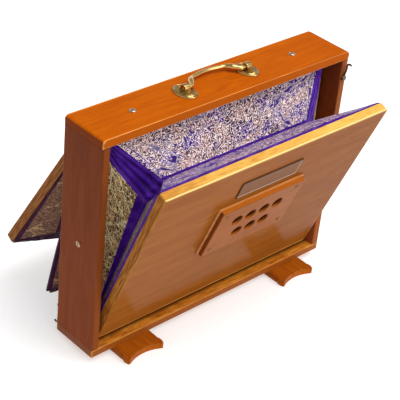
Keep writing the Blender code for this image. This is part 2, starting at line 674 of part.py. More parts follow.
def main():
    clear_scene()
    case = empty("case", (0.0, CASE_OFFSET, 0.0))
    top, left, right = make_case(case)
    left_hole, right_hole = make_partition_screws(case, top)
    make_feet(case)
    make_handle(case)
    make_hooks(case, left, right, left_hole, right_hole)
    hinge_cloth("front_hinge_cloth", FRONT_HINGE, 1, FRONT_OPEN, case)
    hinge_cloth("rear_hinge_cloth", REAR_HINGE, -1, REAR_OPEN, case)
    make_front_board(empty("front_hinge", FRONT_HINGE, case, FRONT_OPEN))
    make_rear_board(empty("rear_hinge", REAR_HINGE, case, REAR_OPEN))
    make_transfer_valve(case)
    make_bellows(case)


main()
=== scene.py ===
import json
import math

import bmesh
import bpy
from mathutils import Matrix, Vector, noise
from mathutils.kdtree import KDTree


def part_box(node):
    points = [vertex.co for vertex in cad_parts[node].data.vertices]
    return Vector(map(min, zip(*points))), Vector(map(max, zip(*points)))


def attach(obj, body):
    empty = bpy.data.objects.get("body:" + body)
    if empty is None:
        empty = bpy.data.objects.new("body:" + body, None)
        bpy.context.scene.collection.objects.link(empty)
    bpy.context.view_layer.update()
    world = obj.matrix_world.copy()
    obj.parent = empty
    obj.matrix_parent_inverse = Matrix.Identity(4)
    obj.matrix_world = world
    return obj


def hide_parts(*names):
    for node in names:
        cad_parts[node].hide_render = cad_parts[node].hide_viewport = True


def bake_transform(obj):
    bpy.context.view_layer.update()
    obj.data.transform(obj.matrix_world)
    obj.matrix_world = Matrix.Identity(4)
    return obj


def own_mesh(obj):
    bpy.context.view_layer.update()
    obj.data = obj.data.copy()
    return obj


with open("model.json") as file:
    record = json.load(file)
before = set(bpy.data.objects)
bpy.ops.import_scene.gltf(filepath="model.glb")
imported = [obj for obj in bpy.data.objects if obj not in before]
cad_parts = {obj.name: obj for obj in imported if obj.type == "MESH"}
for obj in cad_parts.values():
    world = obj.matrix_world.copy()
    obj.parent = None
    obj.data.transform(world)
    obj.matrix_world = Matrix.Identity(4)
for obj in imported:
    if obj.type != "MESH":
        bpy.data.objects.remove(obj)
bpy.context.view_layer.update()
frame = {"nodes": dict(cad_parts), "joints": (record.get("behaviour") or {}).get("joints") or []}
joints = {joint["name"]: joint for joint in frame["joints"]}
scene = bpy.context.scene
up = Vector((0.0, 0.0, 1.0))
right = Vector((1.0, 0.0, 0.0))
back = Vector((0.0, 1.0, 0.0))
quarter = math.pi / 2


def pivotOf(joint):
    return Vector(joints[joint]["pos_m"])


def openAngle(joint):
    return -math.radians(joints[joint]["range_deg"][0])


def middleOf(node):
    return Vector([(low + high) / 2 for low, high in zip(*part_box(node))])


# the frames that the two boards are drawn in
frontHinge = pivotOf("front_board_hinge")
rearHinge = pivotOf("rear_board_hinge")
frontOpen = openAngle("front_board_hinge")
rearOpen = openAngle("rear_board_hinge")
frontPlace = Matrix.Translation(frontHinge) @ Matrix.Rotation(frontOpen, 4, "X")
rearPlace = Matrix.Translation(rearHinge) @ Matrix.Rotation(rearOpen, 4, "X")
print("frame loaded:", len(frame["nodes"]), "nodes")


# shader maths as expressions

class Wire:
    def __init__(self, surface, socket):
        self.surface = surface
        self.socket = socket

    def maths(self, operation, first, second=0.0):
        return self.surface.node("ShaderNodeMath", {"operation": operation}, {0: first, 1: second})

    def __add__(self, other):
        return self.maths("ADD", self, other)

    def __sub__(self, other):
        return self.maths("SUBTRACT", self, other)

    def __rsub__(self, other):
        return self.maths("SUBTRACT", other, self)

    def __mul__(self, other):
        return self.maths("MULTIPLY", self, other)

    def __truediv__(self, other):
        return self.maths("DIVIDE", self, other)

    def __pow__(self, other):
        return self.maths("POWER", self, other)

    def __abs__(self):
        return self.maths("ABSOLUTE", self)

    __radd__ = __add__
    __rmul__ = __mul__

    def least(self, other):
        return self.maths("MINIMUM", self, other)

    def most(self, other):
        return self.maths("MAXIMUM", self, other)

    def held(self):  # kept between 0 and 1
        return self.surface.node("ShaderNodeClamp", {}, {"Value": self})

    def output(self, name):
        return Wire(self.surface, self.socket.node.outputs[name])


class Surface:
    def __init__(self, name, world=None):
        self.material = world or bpy.data.materials.new(name)
        self.material.use_nodes = True
        self.tree = self.material.node_tree
        self.shader = self.tree.nodes.get("Principled BSDF")

    def node(self, kind, settings=None, sockets=None, output=0):
        made = self.tree.nodes.new(kind)
        for key, value in (settings or {}).items():
            if key == "stops":
                while len(made.color_ramp.elements) < len(value):
                    made.color_ramp.elements.new(1.0)
                for stop, (where, colour) in zip(made.color_ramp.elements, value):
                    stop.position = where
                    stop.color = (*colour, 1.0)
            else:
                setattr(made, key, value)
        for key, value in (sockets or {}).items():
            self.feed(made.inputs[key], value)
        return Wire(self, made.outputs[output])

    def feed(self, socket, value):
        if isinstance(value, Wire):
            self.tree.links.new(value.socket, socket)
        elif socket.type == "RGBA":
            socket.default_value = (*value, 1.0)
        else:
            socket.default_value = value

    def mix(self, share, first, second):
        return self.node("ShaderNodeMix", {"data_type": "RGBA"}, {0: share, 6: first, 7: second}, 2)

    def ramp(self, tone, stops, colours):
        return self.node("ShaderNodeValToRGB", {"stops": list(zip(stops, colours))}, {"Fac": tone})

    def noise(self, vector, scale, detail=2.0, rough=0.5, twist=0.0):
        numbers = {"Scale": scale, "Detail": detail, "Roughness": rough, "Distortion": twist}
        return self.node("ShaderNodeTexNoise", {}, {"Vector": vector, **numbers})

    def bump(self, height, strength, distance):
        return self.node("ShaderNodeBump", {}, {"Height": height, "Strength": strength, "Distance": distance})

    def place(self, kind="Object"):
        return self.node("ShaderNodeTexCoord", output=kind)

    def axis(self, vector, name):
        return self.node("ShaderNodeSeparateXYZ", {}, {"Vector": vector}, name)

    def vectors(self, operation, sockets, output=0):
        return self.node("ShaderNodeVectorMath", {"operation": operation}, sockets, output)

    def stretched(self, vector, scale, shift=(0.0, 0.0, 0.0)):
        return self.node("ShaderNodeMapping", {}, {"Vector": vector, "Location": shift, "Scale": scale})

    def wear(self, **sockets):
        for name, value in sockets.items():
            self.feed(self.shader.inputs[name.replace("_", " ")], value)
        return self.material

    def swap(self, output, hidden, shown):
        # one shader for rays that show the background, straight, reflected or through glass, one for the rest
        path = self.node("ShaderNodeLightPath", output="Is Camera Ray")
        seen = path.most(path.output("Is Glossy Ray")).most(path.output("Is Transmission Ray"))
        chosen = self.node("ShaderNodeMixShader", {}, {0: seen, 1: hidden, 2: shown})
        self.feed(self.tree.nodes[output].inputs["Surface"], chosen)


# wood finishes

# a noise's numbers are detail, roughness and twist, after its scale where that isn't in the look
woodGrain = {
    "figure": (3.0, 0.55, 0.9), "fibre": (5.0, 0.7, 0.2), "pore": (2.0, 0.6), "patch": (2.0, 0.5, 0.4),
    "figureShare": 0.55, "fibreShare": 0.3, "patchShare": 0.15, "stops": (0.34, 0.5, 0.68), "poreFrom": 0.6,
    "poreGain": 7.0,
}
woodSheen = {
    "tint": (1.0, 0.74, 0.48), "coatRough": 0.14, "smear": (22.0, 3.0, 0.6), "fibreRough": 0.1,
    "smearRough": 0.12, "poreCoat": 0.4, "fibreHigh": 0.5, "poreDeep": 0.6, "smearHigh": 0.25,
    "bump": 0.0004,
}
woodRim = {
    "fade": 1.4, "fibre": 2.8, "patch": 2.2, "streakFrom": 2.05, "endStretch": (9.0, 9.0, 1.0),
    "end": (45.0, 3.0, 0.6), "endGain": 3.6, "endFrom": 1.3, "highlightGain": 1200.0,
}
woodFace = {"from": 0.75, "gain": 6.0, "least": 0.75, "fibre": 0.4}
# the painted shade at the board's foot: how ragged it is, and on how upward-facing a face it shows
woodCornerShade = {"ragged": 0.8, "levelFrom": 0.7, "levelGain": 5.0}


def rimTone(wood, colour, spot, fibre, patches, rim):
    # paler towards the board's own edges, painted shade on the side edges, and a painted highlight line along
    # the free one
    axes = wood.axis(spot, "X")
    rise = axes.output("Z") - rim["centre"]
    across = rim["half"][0] - abs(axes)
    along = rim["half"][1] - abs(rise)
    near = across.least(along) + (fibre - 0.5) * rim["ragged"]
    pale = (1.0 - near / rim["width"]).held() ** woodRim["fade"]
    streak = fibre * woodRim["fibre"] + patches * woodRim["patch"] + axes * rim["lean"]
    down = wood.noise(wood.stretched(spot, woodRim["endStretch"]), *woodRim["end"])
    down = (down * woodRim["endGain"] - woodRim["endFrom"]).held()
    # the side edges take the darker end tones: painted shade
    shadedEnds = ((along - across) / rim["width"] + 0.5).held()
    edge = wood.mix((streak - woodRim["streakFrom"]).held(), rim["low"], rim["high"])
    edge = wood.mix(shadedEnds, edge, wood.mix(down, rim["endLow"], rim["endHigh"]))
    # a painted highlight line along the free edge's front arris
    front = ((rim["lineFrom"] - axes.output("Y")) * woodRim["highlightGain"]).held()
    free = rim["half"][1] - rise * rim["free"]
    edge = wood.mix(front * (1.0 - free / rim["lineWide"]).held(), edge, rim["line"])
    return wood.mix(pale * rim["share"], colour, edge)


def faceTone(wood, colour, fibre, axis, tone):
    # another tone on the faces that look along an axis, along Z only the upward ones; on the grille it is
    # painted light above and painted shade at the sides
    facing = wood.axis(wood.place("Normal"), axis)
    facing = facing if axis == "Z" else abs(facing)
    share = ((facing - woodFace["from"]) * woodFace["gain"]).held()
    share = share * (woodFace["least"] + fibre * woodFace["fibre"])
    return wood.mix(share.held(), colour, tone)


def cornerShadeTone(wood, colour, spot, fibre, corner):
    # painted shade where the ledge meets the board's foot
    depth = wood.axis(spot, "Y")
    level = wood.axis(wood.place("Normal"), "Z")
    near = 1.0 - abs(depth - corner["at"]) / corner["width"] + (fibre - 0.5) * woodCornerShade["ragged"]
    cornerShade = near.held() * ((level - woodCornerShade["levelFrom"]) * woodCornerShade["levelGain"]).held()
    return wood.mix(cornerShade, colour, corner["tone"])


def woodFinish(name, look):
    wood = Surface(name)
    spot = wood.place()
    grain = wood.stretched(spot, look["stretch"], look["shift"])
    figure, fibre, pores = (wood.noise(grain, look[key], *woodGrain[key])
                            for key in ("figure", "fibre", "pore"))
    patches = wood.noise(spot, look["patch"], *woodGrain["patch"])
    tone = figure * woodGrain["figureShare"] + fibre * woodGrain["fibreShare"]
    tone = tone + patches * woodGrain["patchShare"]
    if "fall" in look:  # paler towards one end of the board
        way, start = look["fall"]
        tone = tone + start + wood.vectors("DOT_PRODUCT", {0: spot, 1: way}, "Value")
    light, mid, dark, deep = look["tones"]
    colour = wood.ramp(tone, woodGrain["stops"], (dark, mid, light))
    pits = ((pores - woodGrain["poreFrom"]) * woodGrain["poreGain"]).held()
    colour = wood.mix(pits * look["pits"], colour, deep)
    if "rim" in look:
        colour = rimTone(wood, colour, spot, fibre, patches, look["rim"])
    for axis, faced in look.get("faces", {}).items():
        colour = faceTone(wood, colour, fibre, axis, faced)
    if "corner" in look:
        colour = cornerShadeTone(wood, colour, spot, fibre, look["corner"])
    sheen = woodSheen
    smears = wood.noise(spot, *sheen["smear"])
    shine = look["rough"] + (fibre - 0.5) * sheen["fibreRough"] + (smears - 0.5) * sheen["smearRough"]
    height = fibre * sheen["fibreHigh"] - pits * sheen["poreDeep"] + smears * sheen["smearHigh"]
    coat = look["coat"] * (1.0 - pits * sheen["poreCoat"])
    return wood.wear(Base_Color=colour, Roughness=shine, Coat_Weight=coat, Coat_Roughness=sheen["coatRough"],
                     Specular_IOR_Level=look["spec"], Specular_Tint=sheen["tint"],
                     Normal=wood.bump(height, look["relief"], sheen["bump"]))


plainWood = {
    "stretch": (1.0, 8.0, 8.0), "shift": (0.0, 0.0, 0.0), "figure": 16.0, "fibre": 80.0, "pore": 150.0,
    "patch": 14.0, "pits": 0.35, "coat": 0.0, "relief": 0.2,
}
boardWood = {"figure": 11.0, "fibre": 60.0, "patch": 7.0, "pits": 0.22, "rough": 0.2, "relief": 0.1}
boardRim = {
    "half": (0.183, 0.1365), "width": 0.0046, "ragged": 0.0034, "lineFrom": -0.01, "lineWide": 0.0014,
}
# tones: light, mid, dark and the pits' own
woodLooks = {
    "topWood": {
        "tones": ((0.61, 0.142, 0.003), (0.53, 0.107, 0.002), (0.44, 0.082, 0.0015), (0.3, 0.05, 0.003)),
        "stretch": (1.0, 9.0, 9.0), "figure": 13.0, "fibre": 70.0, "patch": 8.0, "pits": 0.25, "rough": 0.4,
        "spec": 0.01, "relief": 0.16, "fall": ((-0.25, 0.0, 0.0), -0.06),
        "faces": {"X": (0.222, 0.05, 0.016), "Y": (0.53, 0.11, 0.007)},
    },
    "sideWood": {
        "tones": (
            (0.285, 0.066, 0.02), (0.234, 0.052, 0.0155), (0.182, 0.039, 0.0115), (0.08, 0.017, 0.007),
        ),
        "stretch": (9.0, 9.0, 1.0), "figure": 12.0, "fibre": 60.0, "pore": 140.0, "patch": 7.0,
        "rough": 0.44, "spec": 0.04, "relief": 0.18, "fall": ((0.0, 0.0, -0.95), 0.135),
        "faces": {"Y": (0.275, 0.068, 0.014)},
    },
    "ledgeWood": {
        # golden wood, its tones raised and mottled, part grain and part painted highlight on the top
        "tones": ((1.0, 0.52, 0.07), (0.71, 0.255, 0.026), (0.37, 0.086, 0.008), (0.13, 0.028, 0.004)),
        "stretch": (1.0, 4.0, 4.0), "figure": 34.0, "fibre": 90.0, "patch": 36.0, "rough": 0.3, "spec": 0.1,
        "coat": 0.03, "faces": {"X": (0.222, 0.05, 0.016), "Y": (0.33, 0.082, 0.01)},
        # corner: painted shade on the ledge along the board's foot
        "corner": {"at": frontHinge.y - 0.007, "width": 0.0066, "tone": (0.105, 0.02, 0.004)},
    },
    "footWood": {
        "tones": ((0.56, 0.16, 0.01), (0.46, 0.112, 0.006), (0.33, 0.068, 0.004), (0.17, 0.03, 0.004)),
        "stretch": (8.0, 1.0, 8.0), "figure": 18.0, "fibre": 75.0, "patch": 18.0, "rough": 0.38,
        "spec": 0.06,
    },
    "grilleWood": {
        "tones": ((0.405, 0.122, 0.017), (0.355, 0.099, 0.013), (0.3, 0.078, 0.01), (0.12, 0.026, 0.006)),
        "pore": 160.0, "pits": 0.14, "rough": 0.28, "spec": 0.045, "relief": 0.07,
        # faces: painted shade on the side faces (X), painted light on the upward faces (Z)
        "faces": {"X": (0.19, 0.052, 0.012), "Z": (0.56, 0.15, 0.014)},
    },
    "frontWood": {
        # fall: darker towards the board's upper right, painted shade
        **boardWood, "spec": 0.022, "fall": ((-0.45, 0.0, -0.1), 0.0),
        "tones": ((0.395, 0.131, 0.02), (0.337, 0.103, 0.014), (0.275, 0.077, 0.009), (0.12, 0.028, 0.006)),
        # rim: paler edges, painted shade on the side edges, and line, a painted highlight along the top front
        # arris
        "rim": {
            **boardRim, "centre": 0.1365, "free": 1.0, "share": 0.95, "lean": 2.2,
            "low": (0.58, 0.245, 0.042), "high": (0.98, 0.58, 0.125), "endLow": (0.23, 0.07, 0.013),
            "endHigh": (0.54, 0.215, 0.036), "line": (1.0, 0.76, 0.3),
        },
    },
    "rearWood": {
        **boardWood, "spec": 0.035, "shift": (0.7, 0.3, 0.1),
        "tones": ((0.35, 0.106, 0.022), (0.29, 0.08, 0.015), (0.225, 0.056, 0.009), (0.12, 0.028, 0.006)),
        # rim: paler edges, and painted shade on the side edges
        "rim": {
            **boardRim, "centre": -0.1365, "free": -1.0, "share": 0.9, "lean": 0.0,
            "low": (0.4, 0.125, 0.014), "high": (0.8, 0.34, 0.045), "endLow": (0.16, 0.048, 0.01),
            "endHigh": (0.4, 0.15, 0.028), "line": (0.8, 0.34, 0.045),
        },
    },
    # the grille holes' walls deeper inside: painted shade
    "boreShadeWood": {
        "tones": ((0.13, 0.036, 0.009), (0.095, 0.025, 0.007), (0.062, 0.015, 0.005), (0.03, 0.008, 0.003)),
        "pore": 160.0, "pits": 0.2, "rough": 0.5, "spec": 0.05, "relief": 0.15,
    },
    "innerWood": {
        "tones": ((0.52, 0.34, 0.17), (0.43, 0.26, 0.12), (0.32, 0.18, 0.08), (0.17, 0.09, 0.04)),
        "fibre": 70.0, "pore": 140.0, "patch": 9.0, "pits": 0.4, "rough": 0.62, "spec": 0.1, "relief": 0.25,
    },
}
woodLooks["rightWood"] = {
    **woodLooks["sideWood"], "shift": (0.4, 0.2, 0.6),
    "faces": {"Y": (0.36, 0.1, 0.022)},
    "tones": ((0.395, 0.095, 0.026), (0.335, 0.077, 0.02), (0.26, 0.058, 0.015), (0.08, 0.017, 0.007)),
}
woodLooks = {name: {**plainWood, **look} for name, look in woodLooks.items()}
arrisWork = {"pits": 0.1, "smoother": 0.08, "coat": 0.3}
arrisTones = {  # the arrises: light, mid and dark tones, and how much they shine; the top board's and the grille's lighter tones are a painted highlight
    "topWood": ((0.95, 0.45, 0.14), (0.8, 0.285, 0.045), (0.57, 0.15, 0.012), 0.3),
    "sideWood": ((0.27, 0.066, 0.019), (0.225, 0.053, 0.015), (0.175, 0.04, 0.011), 0.07),
    "rightWood": ((0.34, 0.09, 0.028), (0.27, 0.068, 0.021), (0.2, 0.048, 0.015), 0.1),
    "ledgeWood": ((0.78, 0.33, 0.047), (0.63, 0.23, 0.03), (0.45, 0.145, 0.018), 0.12),
    "grilleWood": ((0.74, 0.3, 0.08), (0.6, 0.215, 0.048), (0.44, 0.13, 0.026), 0.3),
}
for name, (*tones, spec) in arrisTones.items():
    look = {key: value for key, value in woodLooks[name].items() if key != "faces"}
    woodLooks[name + "Arris"] = {**look, "tones": (*tones, look["tones"][-1]), "pits": arrisWork["pits"],
                                 "rough": look["rough"] - arrisWork["smoother"], "spec": spec,
                                 "coat": look["coat"] + arrisWork["coat"] * spec}
woods = {name: woodFinish(name, look) for name, look in woodLooks.items()}


# cloth finishes

def brocadeFinish(name, look):
    # wavering foil threads, dark grooves between them, and a few broad cracks with bright borders
    cloth = Surface(name)
    flat = cloth.place("UV")
    if "sheen" in look:  # the rib beside the board shows a coarser figure and more of its violet ground
        over = cloth.axis(cloth.node("ShaderNodeUVMap", {"uv_map": "share"}), "X")
        beyond = ((over - look["nextRib"]) * look["nextGain"]).held()
        flat = cloth.vectors("SCALE", {0: flat, "Scale": 1.0 - beyond * look["coarser"]})
    bloom, drift, sway, glint, weave = (cloth.noise(flat, *look[key])
                                        for key in ("bloom", "drift", "sway", "glint", "weave"))
    band = cloth.node("ShaderNodeTexWave", {"bands_direction": "DIAGONAL"},
                      {"Vector": flat, "Scale": look["band"], "Distortion": look["twist"],
                       "Detail": look["twistDetail"], "Detail Scale": look["twistScale"],
                       "Detail Roughness": look["twistRough"]}, "Fac")
    groove = ((look["groove"] + (bloom - 0.5) * look["spread"] - band) * look["crisp"]).held()
    bright = ((band + glint * look["glintShare"] - look["brightFrom"]) * look["brightGain"]).held()
    lean = cloth.vectors("SCALE", {0: sway.output("Color"), "Scale": look["lean"]})
    bent = cloth.vectors("ADD", {0: flat, 1: lean})
    cells = {"Vector": cloth.stretched(bent, look["broadStretch"]), "Scale": look["broad"]}
    reach = cloth.node("ShaderNodeTexVoronoi", {"feature": "DISTANCE_TO_EDGE"}, cells)
    ragged = reach + (sway - 0.5) * look["ragged"]
    here = ((drift - look["broadFrom"]) * look["hereGain"]).held()
    broad = ((look["crackWide"] - ragged) * look["crackGain"]).held() * here
    stroke = ((look["strokeWide"] - ragged) * look["strokeGain"]).held() * here * (1.0 - broad)
    colour = cloth.mix(((bloom - look["dullFrom"]) * look["dullGain"]).held(), look["dull"], look["duller"])
    colour = cloth.mix(bright, colour, look["thread"])
    violet = bloom * look["violetBloom"] + drift * look["violetDrift"] - look["violetFrom"]
    ground = cloth.mix((violet * look["violetGain"]).held(), look["grooveTone"], look["violet"])
    colour = cloth.mix(groove, colour, ground)
    colour = cloth.mix(stroke * look["strokeShare"], colour, look["stroke"])
    colour = cloth.mix(broad, colour, look["broadTone"])
    if "sheen" in look:
        colour = cloth.mix(beyond * look["sheenShare"], colour, look["sheen"])
    shine = (bright * look["threadShine"] * (1.0 - groove)).most(stroke) * (1.0 - broad)
    height = band * look["bandHigh"] + stroke * look["strokeHigh"] - broad * look["crackDeep"]
    height = height - groove * look["grooveDeep"] + weave * look["weaveHigh"]
    return cloth.wear(Base_Color=colour, Metallic=shine * look["metal"], Specular_IOR_Level=look["spec"],
                      Roughness=look["rough"] - shine * look["smoother"],
                      Normal=cloth.bump(height, *look["bump"]))


brocadeWeave = {
    "bloom": (50.0, 2.0, 0.55, 0.8), "drift": (16.0, 1.0, 0.5, 0.5), "sway": (90.0, 2.0),
    "glint": (210.0, 1.0), "weave": (2600.0, 1.0), "band": 124.0, "twist": 16.0, "twistScale": 1.5,
    "twistDetail": 2.0, "twistRough": 0.5, "crisp": 9.0, "lean": 0.007, "broadStretch": (1.0, 0.32, 1.0),
    "broad": 26.0, "ragged": 0.08, "nextRib": 0.49, "nextGain": 40.0, "glintShare": 1.6, "brightGain": 3.0,
    "hereGain": 12.0, "crackGain": 50.0, "strokeGain": 40.0, "dullFrom": 0.35, "dullGain": 3.0,
    "violetBloom": 0.5, "violetDrift": 0.7, "violetGain": 9.0, "threadShine": 0.6, "bandHigh": 0.4,
    "strokeHigh": 0.5, "crackDeep": 0.6, "grooveDeep": 0.3, "weaveHigh": 0.2, "spec": 0.2, "rough": 0.6,
    "smoother": 0.2, "bump": (0.6, 0.0005),
}
brocadeLooks = {
    # the top ribs' copy of the brocade, pale silver with painted light
    "topBrocade": {
        "crisp": 12.0, "groove": 0.5, "spread": 2.1, "brightFrom": 1.28, "broadFrom": 0.43,
        "crackWide": 0.023, "strokeWide": 0.034, "strokeShare": 0.8, "metal": 0.2,
        "duller": (0.29, 0.142, 0.108), "dull": (0.45, 0.245, 0.19), "thread": (1.0, 0.83, 0.82),
        "grooveTone": (0.05, 0.022, 0.05), "violet": (0.044, 0.006, 0.23), "violetFrom": 0.55,
        "stroke": (0.98, 0.9, 0.92), "broadTone": (0.04, 0.007, 0.19), "sheen": (0.26, 0.14, 0.62),
        "sheenShare": 0.28, "coarser": 0.45,
    },
    # the side ribs' copy, darker and golder: painted shade
    "sideBrocade": {
        "groove": 0.38, "spread": 1.7, "brightFrom": 1.42, "broadFrom": 0.34,
        "broadStretch": (1.0, 0.75, 1.0), "broad": 38.0, "crackWide": 0.004, "strokeWide": 0.032,
        "strokeShare": 1.0, "metal": 0.12, "duller": (0.35, 0.162, 0.06), "dull": (0.48, 0.235, 0.084),
        "thread": (1.0, 0.84, 0.42), "grooveTone": (0.08, 0.036, 0.022), "violet": (0.08, 0.036, 0.022),
        "violetFrom": 0.6, "stroke": (1.0, 0.84, 0.46), "broadTone": (0.06, 0.03, 0.04),
        "sheen": (0.13, 0.06, 0.22), "sheenShare": 0.6, "coarser": 0.4,
    },
    # the rear ribs' copy, dark brown: painted shade
    "rearBrocade": {
        "groove": 0.28, "spread": 1.2, "brightFrom": 1.6, "broadFrom": 0.42, "broadStretch": (1.0, 0.6, 1.0),
        "broad": 34.0, "crackWide": 0.004, "strokeWide": 0.026, "strokeShare": 0.8, "metal": 0.3,
        "duller": (0.14, 0.05, 0.031), "dull": (0.185, 0.074, 0.041), "thread": (0.48, 0.27, 0.12),
        "grooveTone": (0.082, 0.028, 0.026), "violet": (0.082, 0.028, 0.03), "violetFrom": 0.6,
        "stroke": (0.85, 0.55, 0.24), "broadTone": (0.06, 0.02, 0.04),
    },
}
brocades = {name: brocadeFinish(name, {**brocadeWeave, **look}) for name, look in brocadeLooks.items()}

satinWeave = {
    "drift": (60.0, 3.0, 0.55, 0.8), "threadStretch": (3.0, 0.6, 3.0), "thread": (900.0, 2.0),
    "driftShare": 0.8, "threadShare": 0.2, "pleatShare": 0.42, "pleatedDrift": 0.5, "pleatedThread": 0.1,
    "stops": (0.26, 0.52, 0.8), "rough": 0.34, "threadRough": 0.2, "driftHigh": 0.8, "threadHigh": 0.15,
    "bump": (0.4, 0.001),
}
satinLooks = {
    "frontSatin": {
        "base": (0.062, 0.008, 0.265), "fold": (0.016, 0.002, 0.08), "lift": (0.165, 0.048, 0.52),
        "gloss": (0.55, 0.4, 1.0), "spec": 0.15,
    },
    # a darker, redder copy of the front satin: painted shade on the rear
    "rearSatin": {
        "base": (0.05, 0.009, 0.038), "fold": (0.021, 0.004, 0.018), "lift": (0.095, 0.022, 0.072),
        "gloss": (0.5, 0.22, 0.28), "spec": 0.03,
    },
}


def satinFinish(name, look, pleated=False):
    cloth, weave = Surface(name), satinWeave
    spot = cloth.place()
    drift = cloth.noise(spot, *weave["drift"])
    thread = cloth.noise(cloth.stretched(spot, weave["threadStretch"]), *weave["thread"])
    if pleated:  # the gussets' coordinates hold how high each pleat stands: painted shade in the valleys, painted highlight on the ridges
        tone = cloth.axis(cloth.place("UV"), "X") * weave["pleatShare"]
        tone = tone + drift * weave["pleatedDrift"] + thread * weave["pleatedThread"]
    else:
        tone = drift * weave["driftShare"] + thread * weave["threadShare"]
    # the fold and lift tones: painted shade in the folds and painted highlight on the ridges
    colour = cloth.ramp(tone, weave["stops"], (look["fold"], look["base"], look["lift"]))
    height = drift * weave["driftHigh"] + thread * weave["threadHigh"]
    return cloth.wear(Base_Color=colour, Roughness=weave["rough"] + (thread - 0.5) * weave["threadRough"],
                      Specular_IOR_Level=look["spec"], Specular_Tint=look["gloss"],
                      Normal=cloth.bump(height, *weave["bump"]))


satins = {name: satinFinish(name, look) for name, look in satinLooks.items()}
for name, look in satinLooks.items():
    satins[name + "Pleats"] = satinFinish(name + "Pleats", look, True)

hideLook = {
    "nap": (420.0, 4.0, 0.65), "stain": (30.0, 3.0, 0.6), "dark": (0.34, 0.21, 0.11),
    "pale": (0.5, 0.34, 0.19), "napTone": (0.24, 0.14, 0.07), "napShare": 0.4, "rough": 0.78,
    "napRough": 0.2, "bump": (0.4, 0.0004),
}


def leatherFinish(name, look):
    hide = Surface(name)
    spot = hide.place()
    nap = hide.noise(spot, *look["nap"])
    colour = hide.mix(hide.noise(spot, *look["stain"]), look["dark"], look["pale"])
    colour = hide.mix(nap * look["napShare"], colour, look["napTone"])
    return hide.wear(Base_Color=colour, Roughness=look["rough"] + (nap - 0.5) * look["napRough"],
                     Normal=hide.bump(nap, *look["bump"]))


leather = leatherFinish("tanLeather", hideLook)


# metal and other finishes

metalWork = {
    "cloud": (75.0, 4.0, 0.6), "cast": (3.0, 0.6), "dullFrom": 0.35, "dullGain": 2.6, "cloudShare": 0.6,
    "pitShare": 0.4, "stainFrom": 0.58, "stainGain": 8.0, "stainShare": 0.7, "pitRough": 0.16,
    "stainRough": 0.22, "stainDull": 0.25, "cloudHigh": 0.5, "bump": 0.0003,
}
# bright, dull and stained tone, roughness, grain of the casting, relief, and how far it has aged
metalLooks = {
    "castBrass": ((0.6, 0.405, 0.145), (0.36, 0.235, 0.075), (0.1, 0.06, 0.02), 0.24, 260.0, 0.2, 1.0),
    "bailBrass": ((0.76, 0.51, 0.185), (0.7, 0.465, 0.165), (0.58, 0.375, 0.125), 0.19, 120.0, 0.02, 0.2),
    "reedBrass": ((0.72, 0.55, 0.24), (0.58, 0.42, 0.17), (0.3, 0.2, 0.08), 0.34, 500.0, 0.12, 1.0),
    "screwSteel": ((0.66, 0.59, 0.5), (0.42, 0.36, 0.3), (0.12, 0.095, 0.07), 0.28, 380.0, 0.12, 1.0),
    "rimBrass": ((0.46, 0.29, 0.19), (0.28, 0.165, 0.1), (0.1, 0.05, 0.03), 0.26, 380.0, 0.12, 1.0),
    "agedBrass": ((0.26, 0.135, 0.05), (0.17, 0.085, 0.032), (0.07, 0.034, 0.014), 0.34, 380.0, 0.12, 1.0),
    "hookWire": ((0.2, 0.14, 0.085), (0.12, 0.08, 0.045), (0.05, 0.03, 0.02), 0.32, 420.0, 0.15, 1.0),
}


def metalFinish(name, bright, dull, stain, rough, cast, relief, aged):
    metal, work = Surface(name), metalWork
    spot = metal.place()
    clouds = metal.noise(spot, *work["cloud"])
    pits = metal.noise(spot, cast, *work["cast"])
    colour = metal.mix(((clouds - work["dullFrom"]) * work["dullGain"]).held(), bright, dull)
    tarnish = clouds * work["cloudShare"] + pits * work["pitShare"] - work["stainFrom"]
    tarnish = (tarnish * work["stainGain"]).held() * aged
    colour = metal.mix(tarnish * work["stainShare"], colour, stain)
    rough = rough + (pits - 0.5) * work["pitRough"] * aged + tarnish * work["stainRough"]
    return metal.wear(Base_Color=colour, Metallic=1.0 - tarnish * work["stainDull"], Roughness=rough,
                      Normal=metal.bump(pits + clouds * work["cloudHigh"], relief, work["bump"]))


metals = {name: metalFinish(name, *look) for name, look in metalLooks.items()}

boneLook = {
    "stretch": (9.0, 2.0, 1.0), "streak": (90.0, 4.0, 0.6), "speck": (240.0, 2.0),
    "dark": (0.64, 0.54, 0.36), "pale": (0.82, 0.76, 0.6), "speckTone": (0.4, 0.3, 0.17), "speckFrom": 0.62,
    "speckGain": 6.0, "speckShare": 0.5, "rough": 0.36, "speckRough": 0.15, "bump": (0.12, 0.0003),
}


def boneFinish(name, look):
    bone = Surface(name)
    spot = bone.place()
    streak = bone.noise(bone.stretched(spot, look["stretch"]), *look["streak"])
    speck = bone.noise(spot, *look["speck"])
    colour = bone.mix(streak, look["dark"], look["pale"])
    specks = ((speck - look["speckFrom"]) * look["speckGain"]).held() * look["speckShare"]
    colour = bone.mix(specks, colour, look["speckTone"])
    return bone.wear(Base_Color=colour, Roughness=look["rough"] + (speck - 0.5) * look["speckRough"],
                     Normal=bone.bump(streak, *look["bump"]))


bone = boneFinish("ivoryBone", boneLook)

plateWork = {
    "cloud": (60.0, 3.0, 0.6), "rubStretch": (1.0, 6.0, 6.0), "rub": (300.0, 3.0, 0.7), "cloudShare": 0.6,
    "rubShare": 0.4, "rubRough": 0.2, "spec": 0.08, "bump": (0.1, 0.0002),
}
plateLooks = {  # two tones and how rough
    "plateDark": ((0.185, 0.07, 0.026), (0.275, 0.115, 0.046), 0.42),
    "plateLine": ((0.42, 0.3, 0.22), (0.62, 0.48, 0.38), 0.35),
    "plateRim": ((0.075, 0.028, 0.016), (0.125, 0.052, 0.03), 0.35),
}


